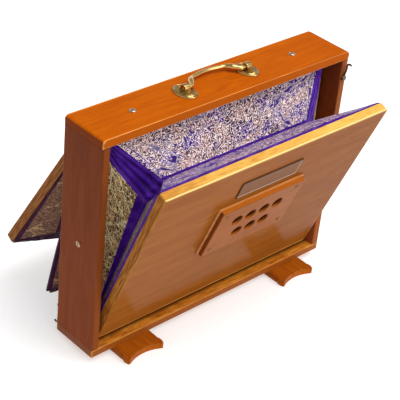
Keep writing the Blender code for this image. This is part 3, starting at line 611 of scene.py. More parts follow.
def plateFinish(name, low, high, rough):
    plate, work = Surface(name), plateWork
    spot = plate.place()
    clouds = plate.noise(spot, *work["cloud"])
    rub = plate.noise(plate.stretched(spot, work["rubStretch"]), *work["rub"])
    colour = plate.mix(clouds * work["cloudShare"] + rub * work["rubShare"], low, high)
    return plate.wear(Base_Color=colour, Roughness=rough + (rub - 0.5) * work["rubRough"],
                      Specular_IOR_Level=work["spec"], Normal=plate.bump(rub, *work["bump"]))


plates = {name: plateFinish(name, *look) for name, look in plateLooks.items()}
print("finishes made:", len(bpy.data.materials))


# mesh helpers

def camel(node):
    first, *rest = node.split("_")
    return first + "".join(word.capitalize() for word in rest)


def meshOf(name, shape):
    bmesh.ops.recalc_face_normals(shape, faces=shape.faces[:])
    mesh = bpy.data.meshes.new(name)
    shape.to_mesh(mesh)
    shape.free()
    return mesh


def dressed(mesh, finish, sharp):
    for one in finish if isinstance(finish, list) else [finish]:
        mesh.materials.append(one)
    mesh.polygons.foreach_set("use_smooth", [True] * len(mesh.polygons))
    mesh.set_sharp_from_angle(angle=math.radians(sharp))
    return mesh


def addMesh(name, mesh, node, body, place, weighted=False):
    piece = bpy.data.objects.new(name, mesh)
    scene.collection.objects.link(piece)
    piece.matrix_world = place
    if weighted:
        piece.modifiers.new("even normals", "WEIGHTED_NORMAL").keep_sharp = True
    if body:
        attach(piece, body)
    if node:
        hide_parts(node)
    return piece


def addPiece(node, shape, finish, body, slot, place=Matrix(), name=None, sharp=38.0, weighted=True):
    # takes the place of a CAD node, and its name in camelCase where it has none of its own
    name = name or camel(node)
    return addMesh(name, dressed(meshOf(name, shape), finish, sharp), node, body, place, weighted)


# how soft sheets and wires are shaded
flowing = {"sharp": 60.0, "weighted": False}


def refinish(node, finish):
    # a CAD node that shows as it is
    materials = frame["nodes"][node].data.materials
    materials.clear()
    materials.append(finish)
    return frame["nodes"][node]


def combine(shape, other, operation="DIFFERENCE"):
    holders = [bpy.data.objects.new("holder", meshOf("holder", each)) for each in (shape, other)]
    for holder in holders:
        scene.collection.objects.link(holder)
    step = holders[0].modifiers.new("combine", "BOOLEAN")
    step.operation = operation
    step.solver = "EXACT"
    step.object = holders[1]
    bpy.context.view_layer.update()
    mesh = bpy.data.meshes.new_from_object(holders[0].evaluated_get(bpy.context.evaluated_depsgraph_get()))
    made = bmesh.new()
    made.from_mesh(mesh)
    bpy.data.meshes.remove(mesh)
    for holder in holders:
        data = holder.data
        bpy.data.objects.remove(holder)
        bpy.data.meshes.remove(data)
    return made


def rounded(shape, edges, radius, segments, arris):
    # arris is the place of the finish that the new faces take, or -1 for their neighbours' own
    bmesh.ops.bevel(shape, geom=edges, offset=radius, segments=segments, profile=0.5, affect="EDGES",
                    material=arris)
    return shape


def roundedBoard(low, high, radius, square=(), segments=3, arris=-1):
    # a board with rounded arrises; square names the edges left sharp by the two faces they part
    low, high = Vector(low), Vector(high)
    centre, half = (low + high) / 2, (high - low) / 2
    shape = bmesh.new()
    size = Matrix.Diagonal((*(2 * half), 1.0))
    bmesh.ops.create_cube(shape, size=1.0, matrix=Matrix.Translation(centre) @ size)
    chosen = []
    for edge in shape.edges:
        middle = (edge.verts[0].co + edge.verts[1].co) / 2 - centre
        faces = {("+" if m > 0 else "-") + axis for axis, m, h in zip("xyz", middle, half) if abs(m) > h / 2}
        if not any(set(pair) == faces for pair in square):
            chosen.append(edge)
    return rounded(shape, chosen, radius, segments, arris)


def turned(shape, profile, place=Matrix(), sides=24):
    # a profile of radius and height, turned about its own upright axis
    rings = []
    for radius, height in profile:
        turns = [2 * math.pi * i / sides for i in range(sides if radius else 1)]
        rings.append([shape.verts.new(place @ Vector((radius * math.cos(t), radius * math.sin(t), height)))
                      for t in turns])
    for lower, upper in zip(rings, rings[1:]):
        for i in range(sides):
            corners = [lower[i % len(lower)], lower[(i + 1) % len(lower)],
                       upper[(i + 1) % len(upper)], upper[i % len(upper)]]
            corners = list(dict.fromkeys(corners))
            if len(corners) > 2:
                shape.faces.new(corners)
    return shape


def drill(shape, radius, reach, place, sides):
    return turned(shape, [(0.0, -reach), (radius, -reach), (radius, reach), (0.0, reach)], place, sides)


def stacked(rings, edged=()):
    # rings of points joined one above the other and closed; the bands named in edged take the second finish
    shape = bmesh.new()
    rings = [[shape.verts.new(point) for point in ring] for ring in rings]
    for band, (lower, higher) in enumerate(zip(rings, rings[1:])):
        for i in range(len(lower)):
            j = (i + 1) % len(lower)
            shape.faces.new((lower[i], lower[j], higher[j], higher[i])).material_index = int(band in edged)
    shape.faces.new(rings[0])
    shape.faces.new(rings[-1])
    return shape


def slab(outline, low, high, place, radius, segments=2, arris=-1):
    # an outline drawn up from low to high, with rounded rims
    shape = bmesh.new()
    rims = [[shape.verts.new(place @ Vector((x, y, z))) for x, y in outline] for z in (low, high)]
    for rim in rims:
        shape.faces.new(rim)
    count = len(outline)
    for i in range(count):
        j = (i + 1) % count
        shape.faces.new((rims[0][i], rims[0][j], rims[1][j], rims[1][i]))
    edges = [shape.edges.get((rim[i], rim[(i + 1) % count])) for rim in rims for i in range(count)]
    return rounded(shape, edges, radius, segments, arris)


def tube(points, radii, sides):
    # a round bar along points, its section carried along without twisting
    shape = bmesh.new()
    points = [Vector(p) for p in points]
    last = len(points) - 1
    headings = [(points[min(i + 1, last)] - points[max(i - 1, 0)]).normalized() for i in range(last + 1)]
    side = headings[0].orthogonal().normalized()
    rings = []
    for i, (point, radius) in enumerate(zip(points, radii)):
        if i:
            side = headings[i - 1].rotation_difference(headings[i]) @ side
        other = headings[i].cross(side)
        rings.append([shape.verts.new(point + radius * (math.cos(t) * side + math.sin(t) * other))
                      for t in (2 * math.pi * k / sides for k in range(sides))])
    for first, second in zip(rings, rings[1:]):
        for k in range(sides):
            shape.faces.new((first[k], first[(k + 1) % sides], second[(k + 1) % sides], second[k]))
    shape.faces.new(rings[0])
    shape.faces.new(rings[-1])
    return shape


def arc(centre, radius, start, stop, steps):
    turns = [start + (stop - start) * i / steps for i in range(steps + 1)]
    return [(centre[0] + radius * math.cos(t), centre[1] + radius * math.sin(t)) for t in turns]


def softRectangle(halfX, halfY, corner, steps=5):
    points = []
    for k, (x, y) in enumerate(((1, 1), (-1, 1), (-1, -1), (1, -1))):
        centre = (x * (halfX - corner), y * (halfY - corner))
        points += arc(centre, corner, k * quarter, (k + 1) * quarter, steps)
    return points


def aimed(point, direction, spin=0.0):
    turn = up.rotation_difference(Vector(direction)).to_matrix().to_4x4()
    return Matrix.Translation(point) @ turn @ Matrix.Rotation(spin, 4, "Z")


# case: four boards, two feet, partition and rails

caseWork = {"round": 0.0015, "sideRound": 0.0017, "topEnd": 0.0036, "endSteps": 8, "footSoften": 0.0005}
# turns an outline's x and y into x and z, and raises it along y
standing = Matrix(((1, 0, 0, 0), (0, 0, 1, 0), (0, 1, 0, 0), (0, 0, 0, 1)))


def makeCase():
    endsHigh = (("-x", "+z"), ("+x", "+z"))
    butts = [(a, z) for a in ("-x", "+x", "-y", "+y") for z in ("-z", "+z")]
    boards = {"bottom_board": ("ledgeWood", "round", endsHigh, "orange_wood"),
              "left_side_board": ("sideWood", "sideRound", butts, "brown_wood"),
              "right_side_board": ("rightWood", "sideRound", butts, "brown_wood")}
    for node, (wood, rounding, square, slot) in boards.items():
        shape = roundedBoard(*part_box(node), caseWork[rounding], square, arris=1)
        addPiece(node, shape, [woods[wood], woods[wood + "Arris"]], "case", slot)
    low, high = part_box("top_board")
    half, radius, steps = (high - low) / 2, caseWork["topEnd"], caseWork["endSteps"]
    profile = [(-half.x, -half.z), (half.x, -half.z)]  # rounded over at both ends
    profile += arc((half.x - radius, half.z - radius), radius, 0.0, quarter, steps)
    profile += arc((radius - half.x, half.z - radius), radius, quarter, 2 * quarter, steps)
    place = Matrix.Translation((low + high) / 2) @ standing
    shape = slab(profile, -half.y, half.y, place, caseWork["round"], segments=3, arris=1)
    addPiece("top_board", shape, [woods["topWood"], woods["topWoodArris"]], "case", "orange_wood")
    for node in ("partition_board", "front_hinge_rail", "rear_hinge_rail"):
        refinish(node, woods["innerWood"])


# horn: the flared tips beside each scoop, as steps out from the side and back from the end
footCut = {
    "tip": 0.0026, "scoopDepth": 0.0066, "steps": 14, "slim": 0.0022, "short": 0.001,
    "horn": ((0.0, 0.015), (-0.0014, 0.0128), (0.0008, 0.0092), (0.001, 0.005), (-0.0008, 0.0)),
}


def makeFeet():
    for node in ("left_foot", "right_foot"):
        low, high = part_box(node)
        centre, half = (low + high) / 2, (high - low) / 2
        half -= Vector((footCut["slim"], footCut["short"], 0.0))
        depth = footCut["scoopDepth"]
        scoopHalf = half.x - footCut["tip"]
        radius = (scoopHalf ** 2 + depth ** 2) / (2 * depth)
        spread = math.asin(scoopHalf / radius)
        scoop = arc((0.0, half.y - depth + radius), radius, -quarter + spread, -quarter - spread,
                    footCut["steps"])
        horn = [(half.x + out, half.y - inward) for out, inward in footCut["horn"]]
        rear = horn + scoop + [(-x, y) for x, y in reversed(horn)]
        outline = rear + [(-x, -y) for x, y in rear]
        shape = slab(outline, low.z, high.z, Matrix(), caseWork["footSoften"])
        addPiece(node, shape, woods["footWood"], "case", "orange_wood",
                 Matrix.Translation((centre.x, centre.y, 0.0)), sharp=25.0)


makeCase()
makeFeet()
print("case and feet made")


# screws

screwForm = {
    "flank": 0.22, "dome": (0.0, 0.3, 0.6, 0.95, 1.25), "seat": 0.96, "sides": 28, "slotWide": 0.24,
    "slotDeep": 0.62,
    "reach": {"cross": 0.62, "slot": 1.3},
    "turns": {"cross": (0.0, quarter), "slot": (0.0,)},
    "sharp": 40.0, "proud": 0.0002, "sunk": 0.0001,
}
# head's radius and height, shank's radius and length, drive, finish, and how the first one's slot lies
# and how far each next one is turned
screwSizes = {
    "top": (0.0042, 0.0018, 0.0017, 0.0085, "cross", "screwSteel", (0.4, 0.7)),
    "side": (0.0042, 0.0014, 0.0017, 0.0085, "slot", "rimBrass", (0.2, 0.0)),
    "grille": (0.0028, 0.001, 0.0011, 0.0048, "slot", "agedBrass", (0.0, 0.8)),
    "handle": (0.0029, 0.0013, 0.0011, 0.0016, "slot", "castBrass", (0.5, 0.9)),
    "hook": (0.0034, 0.0013, 0.0013, 0.0075, "slot", "hookWire", (0.6, 0.0)),
    "tab": (0.0026, 0.0012, 0.001, 0.0028, "slot", "castBrass", (0.0, 0.37)),
}


def screwMesh(name, head, height, shank, length, drive, finish):
    # a domed head with a cross or a straight slot, on a plain shank
    form, flank = screwForm, screwForm["flank"]
    dome = [(head * math.cos(t), height * (flank + (1 - flank) * math.sin(t))) for t in form["dome"]]
    profile = [(0.0, -length), (shank, -length), (shank, 0.0), (head * form["seat"], 0.0)]
    profile += [*dome, (0.0, height)]
    shape = turned(bmesh.new(), profile, sides=form["sides"])
    width, reach, depth = head * form["slotWide"], head * form["reach"][drive], height * form["slotDeep"]
    lifted = Matrix.Translation((0.0, 0.0, height)) @ Matrix.Diagonal((2 * reach, width, depth * 2, 1.0))
    for turn in form["turns"][drive]:
        slot = bmesh.new()
        bmesh.ops.create_cube(slot, size=1.0, matrix=Matrix.Rotation(turn, 4, "Z") @ lifted)
        shape = combine(shape, slot)
    return dressed(meshOf(name, shape), metals[finish], form["sharp"])


screwMeshes = {name: screwMesh(name + "Screw", *size) for name, (*size, _) in screwSizes.items()}


def slotTurn(kind, number=0):
    start, step = screwSizes[kind][-1]
    return start + step * number


def addScrew(node, kind, place, body):
    return addMesh(camel(node), screwMeshes[kind], node, body, place)


def makePartitionScrews():
    proud = screwForm["proud"]
    for k, (side, way) in enumerate((("left", -right), ("right", right))):
        middle = middleOf(side + "_top_screw")
        spot = Vector((middle.x, middle.y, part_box("top_board")[1].z + proud))
        addScrew(side + "_top_screw", "top", aimed(spot, up, slotTurn("top", k)), "case")
        middle = middleOf(side + "_side_screw")
        spot = Vector((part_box(side + "_side_board")[k].x + proud * way.x, middle.y, middle.z))
        addScrew(side + "_side_screw", "side", aimed(spot, way, slotTurn("side")), "case")


makePartitionScrews()
print("case screws made")


# handle: two oval plates with lugs, and the bail lying back

# rises: how far out, as a share, and how high
plateCast = {
    "halfX": 0.013, "halfY": 0.018, "high": 0.0025, "steps": 48, "rimRun": 0.013, "lugHalf": 0.004,
    "lugRadius": 0.0052, "lugLift": 0.0035, "lugFoot": 1.18, "lugWaist": 1.02, "footAt": 0.0012,
    "waistAt": 0.0034, "lugSteps": 16, "lugRound": 0.0009, "boreReach": 0.008, "boreSides": 24,
    "play": 0.0003, "screwReach": 0.011,
    "rises": (
        (1.0, 0.0), (1.0, 0.0008), (0.965, 0.0016), (0.91, 0.0019), (0.86, 0.0016), (0.8, 0.0017),
        (0.72, 0.0025),
    ),
}
bailCast = {
    "pin": 0.0028, "pinStops": (0.0542, 0.0525, 0.0485, 0.0451), "foot": 0.0395, "shoulder": 0.0272,
    "reach": 0.0175, "footBend": 0.005, "shoulderBend": 0.019, "crown": 0.0022, "drop": 93.5, "grip": 0.0025,
    "gripFrom": 0.012, "gripHalf": 0.021, "fill": 0.0002, "knuckle": 0.0042, "knuckleAt": 0.033,
    "knuckleLong": 0.0042, "bead": 0.0003, "beadAt": 0.029, "beadLong": 0.0012, "tip": 0.0006,
    "tipFrom": 0.0537, "play": 0.0001, "footSteps": 8, "legSteps": 12, "shoulderSteps": 10, "gripSteps": 14,
    "sides": 20,
}


def oval(width, length, steps):
    turns = [2 * math.pi * i / steps for i in range(steps)]
    return [(width * math.cos(t), length * math.sin(t)) for t in turns]


def handlePlate():
    # a cast oval with a rolled rim and a raised field, and a rounded lug bored for the bail
    cast = plateCast
    rings = []
    for share, height in cast["rises"]:
        inward = (1 - share) * cast["rimRun"]
        edge = oval(cast["halfX"] - inward, cast["halfY"] - inward, cast["steps"])
        rings.append([(x, y, height) for x, y in edge])
    lift = cast["high"] + cast["lugLift"]
    radius = cast["lugRadius"]
    foot, waist = radius * cast["lugFoot"], radius * cast["lugWaist"]
    outline = [(-foot, cast["footAt"]), (foot, cast["footAt"]), (waist, cast["waistAt"])]
    outline += arc((0.0, lift), radius, 0.0, math.pi, cast["lugSteps"]) + [(-waist, cast["waistAt"])]
    across = Matrix(((0, 0, 1, 0), (1, 0, 0, 0), (0, 1, 0, 0), (0, 0, 0, 1)))
    lug = slab(outline, -cast["lugHalf"], cast["lugHalf"], across, cast["lugRound"])
    spot = aimed((0.0, 0.0, lift), right)
    bore = drill(bmesh.new(), bailCast["pin"] + cast["play"], cast["boreReach"], spot, cast["boreSides"])
    return combine(combine(stacked(rings), lug, "UNION"), bore)


def bailPath():
    cast = bailCast
    slant = math.atan2(cast["reach"], cast["foot"] - cast["shoulder"])
    turn = math.tan(slant / 2)
    pin = [(-x, 0.0) for x in cast["pinStops"]]
    foot = arc((-cast["foot"] - cast["footBend"] * turn, cast["footBend"]), cast["footBend"], -quarter,
               slant - quarter, cast["footSteps"])
    shoulder = arc((-cast["shoulder"] + cast["shoulderBend"] * turn, cast["reach"] - cast["shoulderBend"]),
                   cast["shoulderBend"], slant + quarter, quarter, cast["shoulderSteps"])
    steps = cast["legSteps"]
    leg = [tuple(Vector(foot[-1]).lerp(Vector(shoulder[0]), k / steps)) for k in range(1, steps)]
    grip = []
    for i in range(1, cast["gripSteps"]):
        left = 1 - i / cast["gripSteps"]
        grip.append((shoulder[-1][0] * left, cast["reach"] + cast["crown"] * (1 - left ** 2)))
    half = pin + foot + leg + shoulder + grip
    return half + [(0.0, cast["reach"] + cast["crown"])] + [(-x, z) for x, z in reversed(half)]


def bailRadius(x, reach):
    # slim pin, a swelling knuckle on the leg, a bead at the shoulder and a grip that fills out in the middle
    cast, x = bailCast, abs(x)

    def swell(kind):
        return math.exp(-((x - cast[kind + "At"]) / cast[kind + "Long"]) ** 2)

    knuckle = swell("knuckle") * (cast["knuckle"] - cast["pin"])
    bead = swell("bead") * cast["bead"]
    fill = max(0.0, 1.0 - (x / cast["gripHalf"]) ** 2) * cast["fill"]
    end = cast["tip"] if x > cast["tipFrom"] else 0.0
    base = cast["grip"] if reach > cast["gripFrom"] else cast["pin"] - cast["play"]
    return base + knuckle + bead + fill - end


def makeHandle():
    cast = plateCast
    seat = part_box("left_handle_plate")[0].z
    pivot = pivotOf("handle_swing")
    number = 0
    for node in ("left_handle_plate", "right_handle_plate"):
        centre = middleOf(node).x
        place = Matrix.Translation((centre, pivot.y, seat))
        addPiece(node, handlePlate(), metals["castBrass"], "case", "brass", place, sharp=30.0)
        for y in (-cast["screwReach"], cast["screwReach"]):
            number += 1
            spot = (centre, pivot.y + y, seat + cast["high"] - screwForm["sunk"])
            spot = aimed(spot, up, slotTurn("handle", number))
            addScrew(f"handle_screw_{number}", "handle", spot, "case")
    path = bailPath()
    lying = Matrix.Translation(pivot) @ Matrix.Rotation(-math.radians(bailCast["drop"]), 4, "X")
    shape = tube([(x, 0.0, z) for x, z in path], [bailRadius(x, z) for x, z in path], bailCast["sides"])
    addPiece("handle_bail", shape, metals["bailBrass"], "handle", "brass", lying, sharp=50.0, weighted=False)


makeHandle()
print("handle made")


# wire hooks with their pivot screws

hookWire = {
    "wire": 0.0013, "loop": 0.0027,
    "arm": {"front": 0.0155, "rear": 0.024},
    "curl": 0.004, "bow": 0.003, "opening": 40.0, "curlTurn": 1.5, "tip": 0.6, "loopSteps": 30,
    "armSteps": 14, "curlSteps": 16, "sides": 10,
}


def hookPath(arm):
    start = quarter - math.radians(hookWire["opening"])
    loop = arc((0.0, 0.0), hookWire["loop"], start, -3 * quarter, hookWire["loopSteps"])
    points = [(x, 0.0, z) for x, z in loop]
    for i in range(1, hookWire["armSteps"]):
        share = i / hookWire["armSteps"]
        points.append((0.0, -hookWire["bow"] * math.sin(share * quarter), hookWire["loop"] + share * arm))
    heart = (-hookWire["bow"] - hookWire["curl"], hookWire["loop"] + arm)
    curl = arc(heart, hookWire["curl"], 0.0, hookWire["curlTurn"] * quarter, hookWire["curlSteps"])
    return points + [(0.0, y, z) for y, z in curl]


def makeHooks():
    for k, (end, turn, way) in enumerate((("front", 0.0, -back), ("rear", math.pi, back))):
        path = hookPath(hookWire["arm"][end])
        radii = [hookWire["wire"]] * len(path)
        radii[-1] *= hookWire["tip"]
        place = Matrix.Translation(pivotOf(end + "_hook_turn")) @ Matrix.Rotation(turn, 4, "X")
        shape = tube(path, radii, hookWire["sides"])
        addPiece(end + "_hook", shape, metals["hookWire"], end + "_hook", "steel", place, **flowing)
        node = end + "_hook_screw"
        middle = middleOf(node)
        headHeight = screwSizes["hook"][1]
        spot = Vector((middle.x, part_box(node)[k].y, middle.z)) - way * headHeight
        addScrew(node, "hook", aimed(spot, way, slotTurn("hook")), "case")


makeHooks()
print("hooks made")


# front board with its grille and label plate

frontWork = {
    "halfWidth": 0.183, "thick": 0.012, "height": 0.273, "round": 0.0012, "corner": 0.0024, "gap": 0.0003,
    "through": 0.02,
}
# steps go inward and out from the board; flareSteps are shares of the flare
grilleCut = {
    "width": 0.141, "height": 0.089, "thick": 0.008, "centre": 0.1565, "corner": 0.0022, "hole": 0.008,
    "pitch": 0.0225, "rowPitch": 0.027, "rows": (3, 4), "flare": 0.0011, "flareMouth": 2.2, "mouth": 0.004,
    # stain: how deep in the holes the painted shade starts
    "flareSteps": ((1.0, 0.0), (0.45, 0.25), (0.0, 1.0)), "stain": 0.003, "shadeReach": 0.3,
    "through": 0.012, "sides": 40, "screwInset": 0.012,
    "steps": (
        (0.0, 0.0), (0.0, 0.001), (0.0003, 0.0016), (0.0009, 0.0019), (0.0015, 0.0021), (0.0018, 0.0026),
        (0.0018, 0.0066), (0.0021, 0.0073), (0.0027, 0.0078), (0.0034, 0.008),
    ),
    # edged: the bands at the board, which take the arris finish and its painted highlight
    "edged": (0, 1, 2, 3, 4),
}
labelCut = {
    "width": 0.101, "height": 0.028, "thick": 0.0012, "centre": 0.2255, "border": 0.0012, "line": 0.0008,
    "sink": 0.0004, "round": 0.0003,
}


def intakePlaces():
    places = []
    for row, count in enumerate(grilleCut["rows"]):
        rise = grilleCut["centre"] + (row - 0.5) * grilleCut["rowPitch"]
        places += [((i - (count - 1) / 2) * grilleCut["pitch"], rise) for i in range(count)]
    return places


def flapBoard(low, high, middle):
    # a board with rounded corners, drawn about the middle of its height
    rectangle = softRectangle(frontWork["halfWidth"], frontWork["height"] / 2, frontWork["corner"])
    return slab([(x, middle + z) for x, z in rectangle], low, high, standing, frontWork["round"], segments=4)


def grillePlate(front, face):
    # a stepped plate whose holes are countersunk, with painted shade on their walls deeper inside
    cut, hole, flare = grilleCut, grilleCut["hole"], grilleCut["flare"]
    halfW, halfH = cut["width"] / 2, cut["height"] / 2
    rings = []
    for inward, out in cut["steps"]:
        ring = softRectangle(halfW - inward, halfH - inward, cut["corner"])
        rings.append([(x, front - out, cut["centre"] + z) for x, z in ring])
    rim = [(0.0, -cut["mouth"]), (hole + cut["flareMouth"] * flare, -cut["mouth"])]
    rim += [(hole + wide * flare, deep * flare) for wide, deep in cut["flareSteps"]]
    rim += [(hole, cut["stain"]), (hole, cut["through"]), (0.0, cut["through"])]
    holes = bmesh.new()
    for x, z in intakePlaces():
        turned(holes, rim, aimed((x, face, z), back), cut["sides"])
    shape = combine(stacked(rings, cut["edged"]), holes)
    shape.normal_update()
    reach = hole + cut["shadeReach"] * flare
    for part in shape.faces:
        spot = part.calc_center_median()
        inside = any(math.hypot(spot.x - x, spot.z - z) < reach for x, z in intakePlaces())
        if inside and abs(part.normal.y) < 0.5 and spot.y > face + cut["stain"]:
            part.material_index = 2  # the bore's darker finish, painted shade
    return shape


def makeFrontBoard():
    work, cut = frontWork, grilleCut
    front = -work["thick"] - work["gap"]
    face = front - cut["thick"]
    holes = bmesh.new()
    for x, z in intakePlaces():
        drill(holes, cut["hole"], work["through"], aimed((x, -work["thick"] / 2, z), back), cut["sides"])
    shape = combine(flapBoard(-work["thick"], 0.0, work["height"] / 2), holes)
    addPiece("front_board", shape, woods["frontWood"], "front_board", "honey_wood", frontPlace)
    finishes = [woods["grilleWood"], woods["grilleWoodArris"], woods["boreShadeWood"]]
    addPiece("intake_grille", grillePlate(front, face), finishes, "front_board", "orange_wood", frontPlace)
    halfX, halfZ = cut["width"] / 2 - cut["screwInset"], cut["height"] / 2 - cut["screwInset"]
    corners = [(x, z) for z in (halfZ, -halfZ) for x in (-halfX, halfX)]
    for number, (x, z) in enumerate(corners, 1):
        spot = aimed((x, face - screwForm["sunk"], cut["centre"] + z), -back, slotTurn("grille", number))
        addScrew(f"grille_screw_{number}", "grille", frontPlace @ spot, "front_board")
    makeLabel(front)


def makeLabel(front):
    # a bare plate: a raised rim and a fine pale line round a sunk dark field
    cut = labelCut
    low = Vector((-cut["width"] / 2, front - cut["thick"], cut["centre"] - cut["height"] / 2))
    high = Vector((cut["width"] / 2, front, cut["centre"] + cut["height"] / 2))
    shape = roundedBoard(low, high, cut["round"], segments=1)
    field = min(shape.faces, key=lambda f: f.calc_center_median().y - f.calc_area())
    for inset, depth, index in ((cut["border"], 0.0, 1), (cut["line"], cut["sink"], 2)):
        bmesh.ops.inset_region(shape, faces=[field], thickness=inset, depth=-depth, use_even_offset=True)
        field.material_index = index
    finishes = [plates[name] for name in ("plateRim", "plateLine", "plateDark")]
    addPiece("name_plate", shape, finishes, "front_board", "label", frontPlace, sharp=25.0)


makeFrontBoard()
print("front board made")


# rear board with its tone tabs; the reed plate inside keeps its own shape

rearWork = {
    "toneCount": 13, "pitch": 0.024, "toneDown": 0.15, "hole": 0.004, "holeSides": 20, "arm": 0.03,
    "pad": 0.006, "pivot": 0.0048, "tabSteps": 14, "tabThick": 0.003, "tabSoften": 0.0007,
}


def tonePlaces():
    return [(i - (rearWork["toneCount"] - 1) / 2) * rearWork["pitch"] for i in range(rearWork["toneCount"])]


def makeRearBoard():
    work, thick = rearWork, frontWork["thick"]
    holes = bmesh.new()
    for x in tonePlaces():
        spot = aimed((x, thick / 2, -work["toneDown"]), back)
        drill(holes, work["hole"], frontWork["through"], spot, work["holeSides"])
    shape = combine(flapBoard(0.0, thick, -frontWork["height"] / 2), holes)
    addPiece("rear_board", shape, woods["rearWood"], "rear_board", "honey_wood", rearPlace)
    lean = math.asin((work["pad"] - work["pivot"]) / work["arm"])
    outline = arc((0.0, 0.0), work["pivot"], -lean, math.pi + lean, work["tabSteps"])
    outline += arc((0.0, -work["arm"]), work["pad"], math.pi + lean, 2 * math.pi - lean, work["tabSteps"])
    for i, x in enumerate(tonePlaces()):
        node = f"tone_tab_{i + 1:02d}"
        place = rearPlace @ Matrix.Translation((x, thick + frontWork["gap"], work["arm"] - work["toneDown"]))
        shape = slab(outline, 0.0, work["tabThick"], standing, work["tabSoften"])
        addPiece(node, shape, bone, node, "ivory", place, sharp=50.0)
        spot = aimed((0.0, work["tabThick"] - screwForm["sunk"], 0.0), back, slotTurn("tab", i))
        addMesh(f"tabScrew{i + 1:02d}", screwMeshes["tab"], None, "rear_board", place @ spot)
    refinish("reed_plate", metals["reedBrass"])


makeRearBoard()
print("rear board made")


# bellows: stiff covered ribs, satin tapes on the creases, and satin gussets in the corners

# frontSide, rearSide: how deep the side folds would lie at the corner, and how far short of it they end
bellowsCut = {
    "edge": 0.003, "seat": 0.0014, "start": 0.014, "inset": 0.01, "boardInset": 0.0035, "foldInset": 0.066,
    "ridgeShort": -0.001, "ridgeAngle": 13.6, "rib": 0.0012, "frontSide": (0.065, 0.081), "frontEnd": 0.0498,
    "rearSide": (0.04, 0.066), "rearEnd": 0.033, "lengthSteps": 44, "ribSteps": 22, "bow": 0.0011,
    "frontKeep": 0.055, "rearKeep": 0.042,
}
# ripples: scale and share
ribCurve = {"ease": 2, "crown": 0.8, "endRise": 6, "ripples": ((38.0, 0.35), (110.0, 0.12))}
# thick, turn and glue apart: reach to each side of the crease, and in from the rim
tapeCut = {
    "thick": 0.0005, "turn": 0.0002, "glue": 0.00005, "frontTop": (0.0014, 0.004),
    "frontLeft": (0.007, 0.0052), "frontRight": (0.007, 0.0052), "rearBottom": (0.004, 0.004),
    "rearLeft": (0.003, 0.0034), "rearRight": (0.003, 0.0034),
}
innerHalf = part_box("right_side_board")[0].x
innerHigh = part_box("top_board")[0].z
partitionFront, partitionBack = (corner.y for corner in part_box("partition_board"))


def station(y, z, angle, sign, length, half, inset):
    # one outer line of a bellows, from beside the hinge out to its corner
    along = Vector((0.0, -sign * math.sin(angle), sign * math.cos(angle)))
    return {"base": Vector((0.0, y, z)), "along": along, "length": length, "half": half, "inset": inset}


def edgePoint(line, side, short):
    return line["base"] + line["along"] * (line["length"] - short) + side * line["half"] * right


def endPoint(line, side, inset):
    return line["base"] + line["along"] * line["length"] + side * (line["half"] - inset) * right


def sideFold(first, second, side, short, depth):
    middle = (edgePoint(first, side, short) + edgePoint(second, side, short)) / 2
    return middle - side * depth * (1 - short / first["length"]) * right


def endFold(first, second, side, inset, depth):
    a, b = endPoint(first, side, inset), endPoint(second, side, inset)
    chord = (b - a).normalized()
    inward = -(first["along"] + second["along"]).normalized()
    inward = (inward - inward.dot(chord) * chord).normalized()
    return (a + b) / 2 + inward * depth


def ribRails(lines, side, sideDepth, endDepth, end):
    # the lines that a rib sheet runs over, each by its two ends: outer, fold, outer and so on
    cut, rails = bellowsCut, []
    depth, inset = sideDepth
    for k, line in enumerate(lines):
        following = lines[k + 1] if k + 1 < len(lines) else None
        if end:
            rails.append([endPoint(line, s, line["inset"]) for s in (-1, 1)])
            if following:
                rails.append([endFold(line, following, s, cut["foldInset"], endDepth) for s in (-1, 1)])
        else:
            hinge = line["length"] - cut["start"]
            rails.append([edgePoint(line, side, short) for short in (hinge, line["inset"])])
            if following:
                rails.append([sideFold(line, following, side, short, depth) for short in (hinge, inset)])
    return rails


def sheetGrid(rails, outward, lengthSteps, ribSteps, bow):
    # points of a folded sheet, with soft creases and slightly crowned ribs
    grid = []
    for i in range(lengthSteps + 1):
        stops = [a.lerp(b, i / lengthSteps) for a, b in rails]
        row = []
        for first, second in zip(stops, stops[1:]):
            row += [first.lerp(second, j / ribSteps) for j in range(ribSteps)]
        row.append(stops[-1])
        for _ in range(ribCurve["ease"]):
            eased = [(row[n - 1] + 2 * row[n] + row[n + 1]) / 4 for n in range(1, len(row) - 1)]
            row = [row[0], *eased, row[-1]]
        grid.append(row)
    normals = gridNormals(grid, outward)
    for i, row in enumerate(grid):
        t = i / lengthSteps
        rise = min(1.0, ribCurve["endRise"] * t, ribCurve["endRise"] * (1 - t))
        for n, point in enumerate(row):
            swell = math.sin(math.pi * (n % ribSteps) / ribSteps) ** ribCurve["crown"] * rise
            ripple = sum(noise.noise(point * scale) * share for scale, share in ribCurve["ripples"])
            row[n] = point + normals[i][n] * bow * swell * (1.0 + ripple)
    return grid


def gridNormals(grid, outward):
    rows, columns = len(grid), len(grid[0])
    normals = []
    for i in range(rows):
        line = []
        for n in range(columns):
            down = grid[min(i + 1, rows - 1)][n] - grid[max(i - 1, 0)][n]
            over = grid[i][min(n + 1, columns - 1)] - grid[i][max(n - 1, 0)]
            normal = down.cross(over).normalized()
            line.append(normal if normal.dot(outward) > 0 else -normal)
        normals.append(line)
    return normals


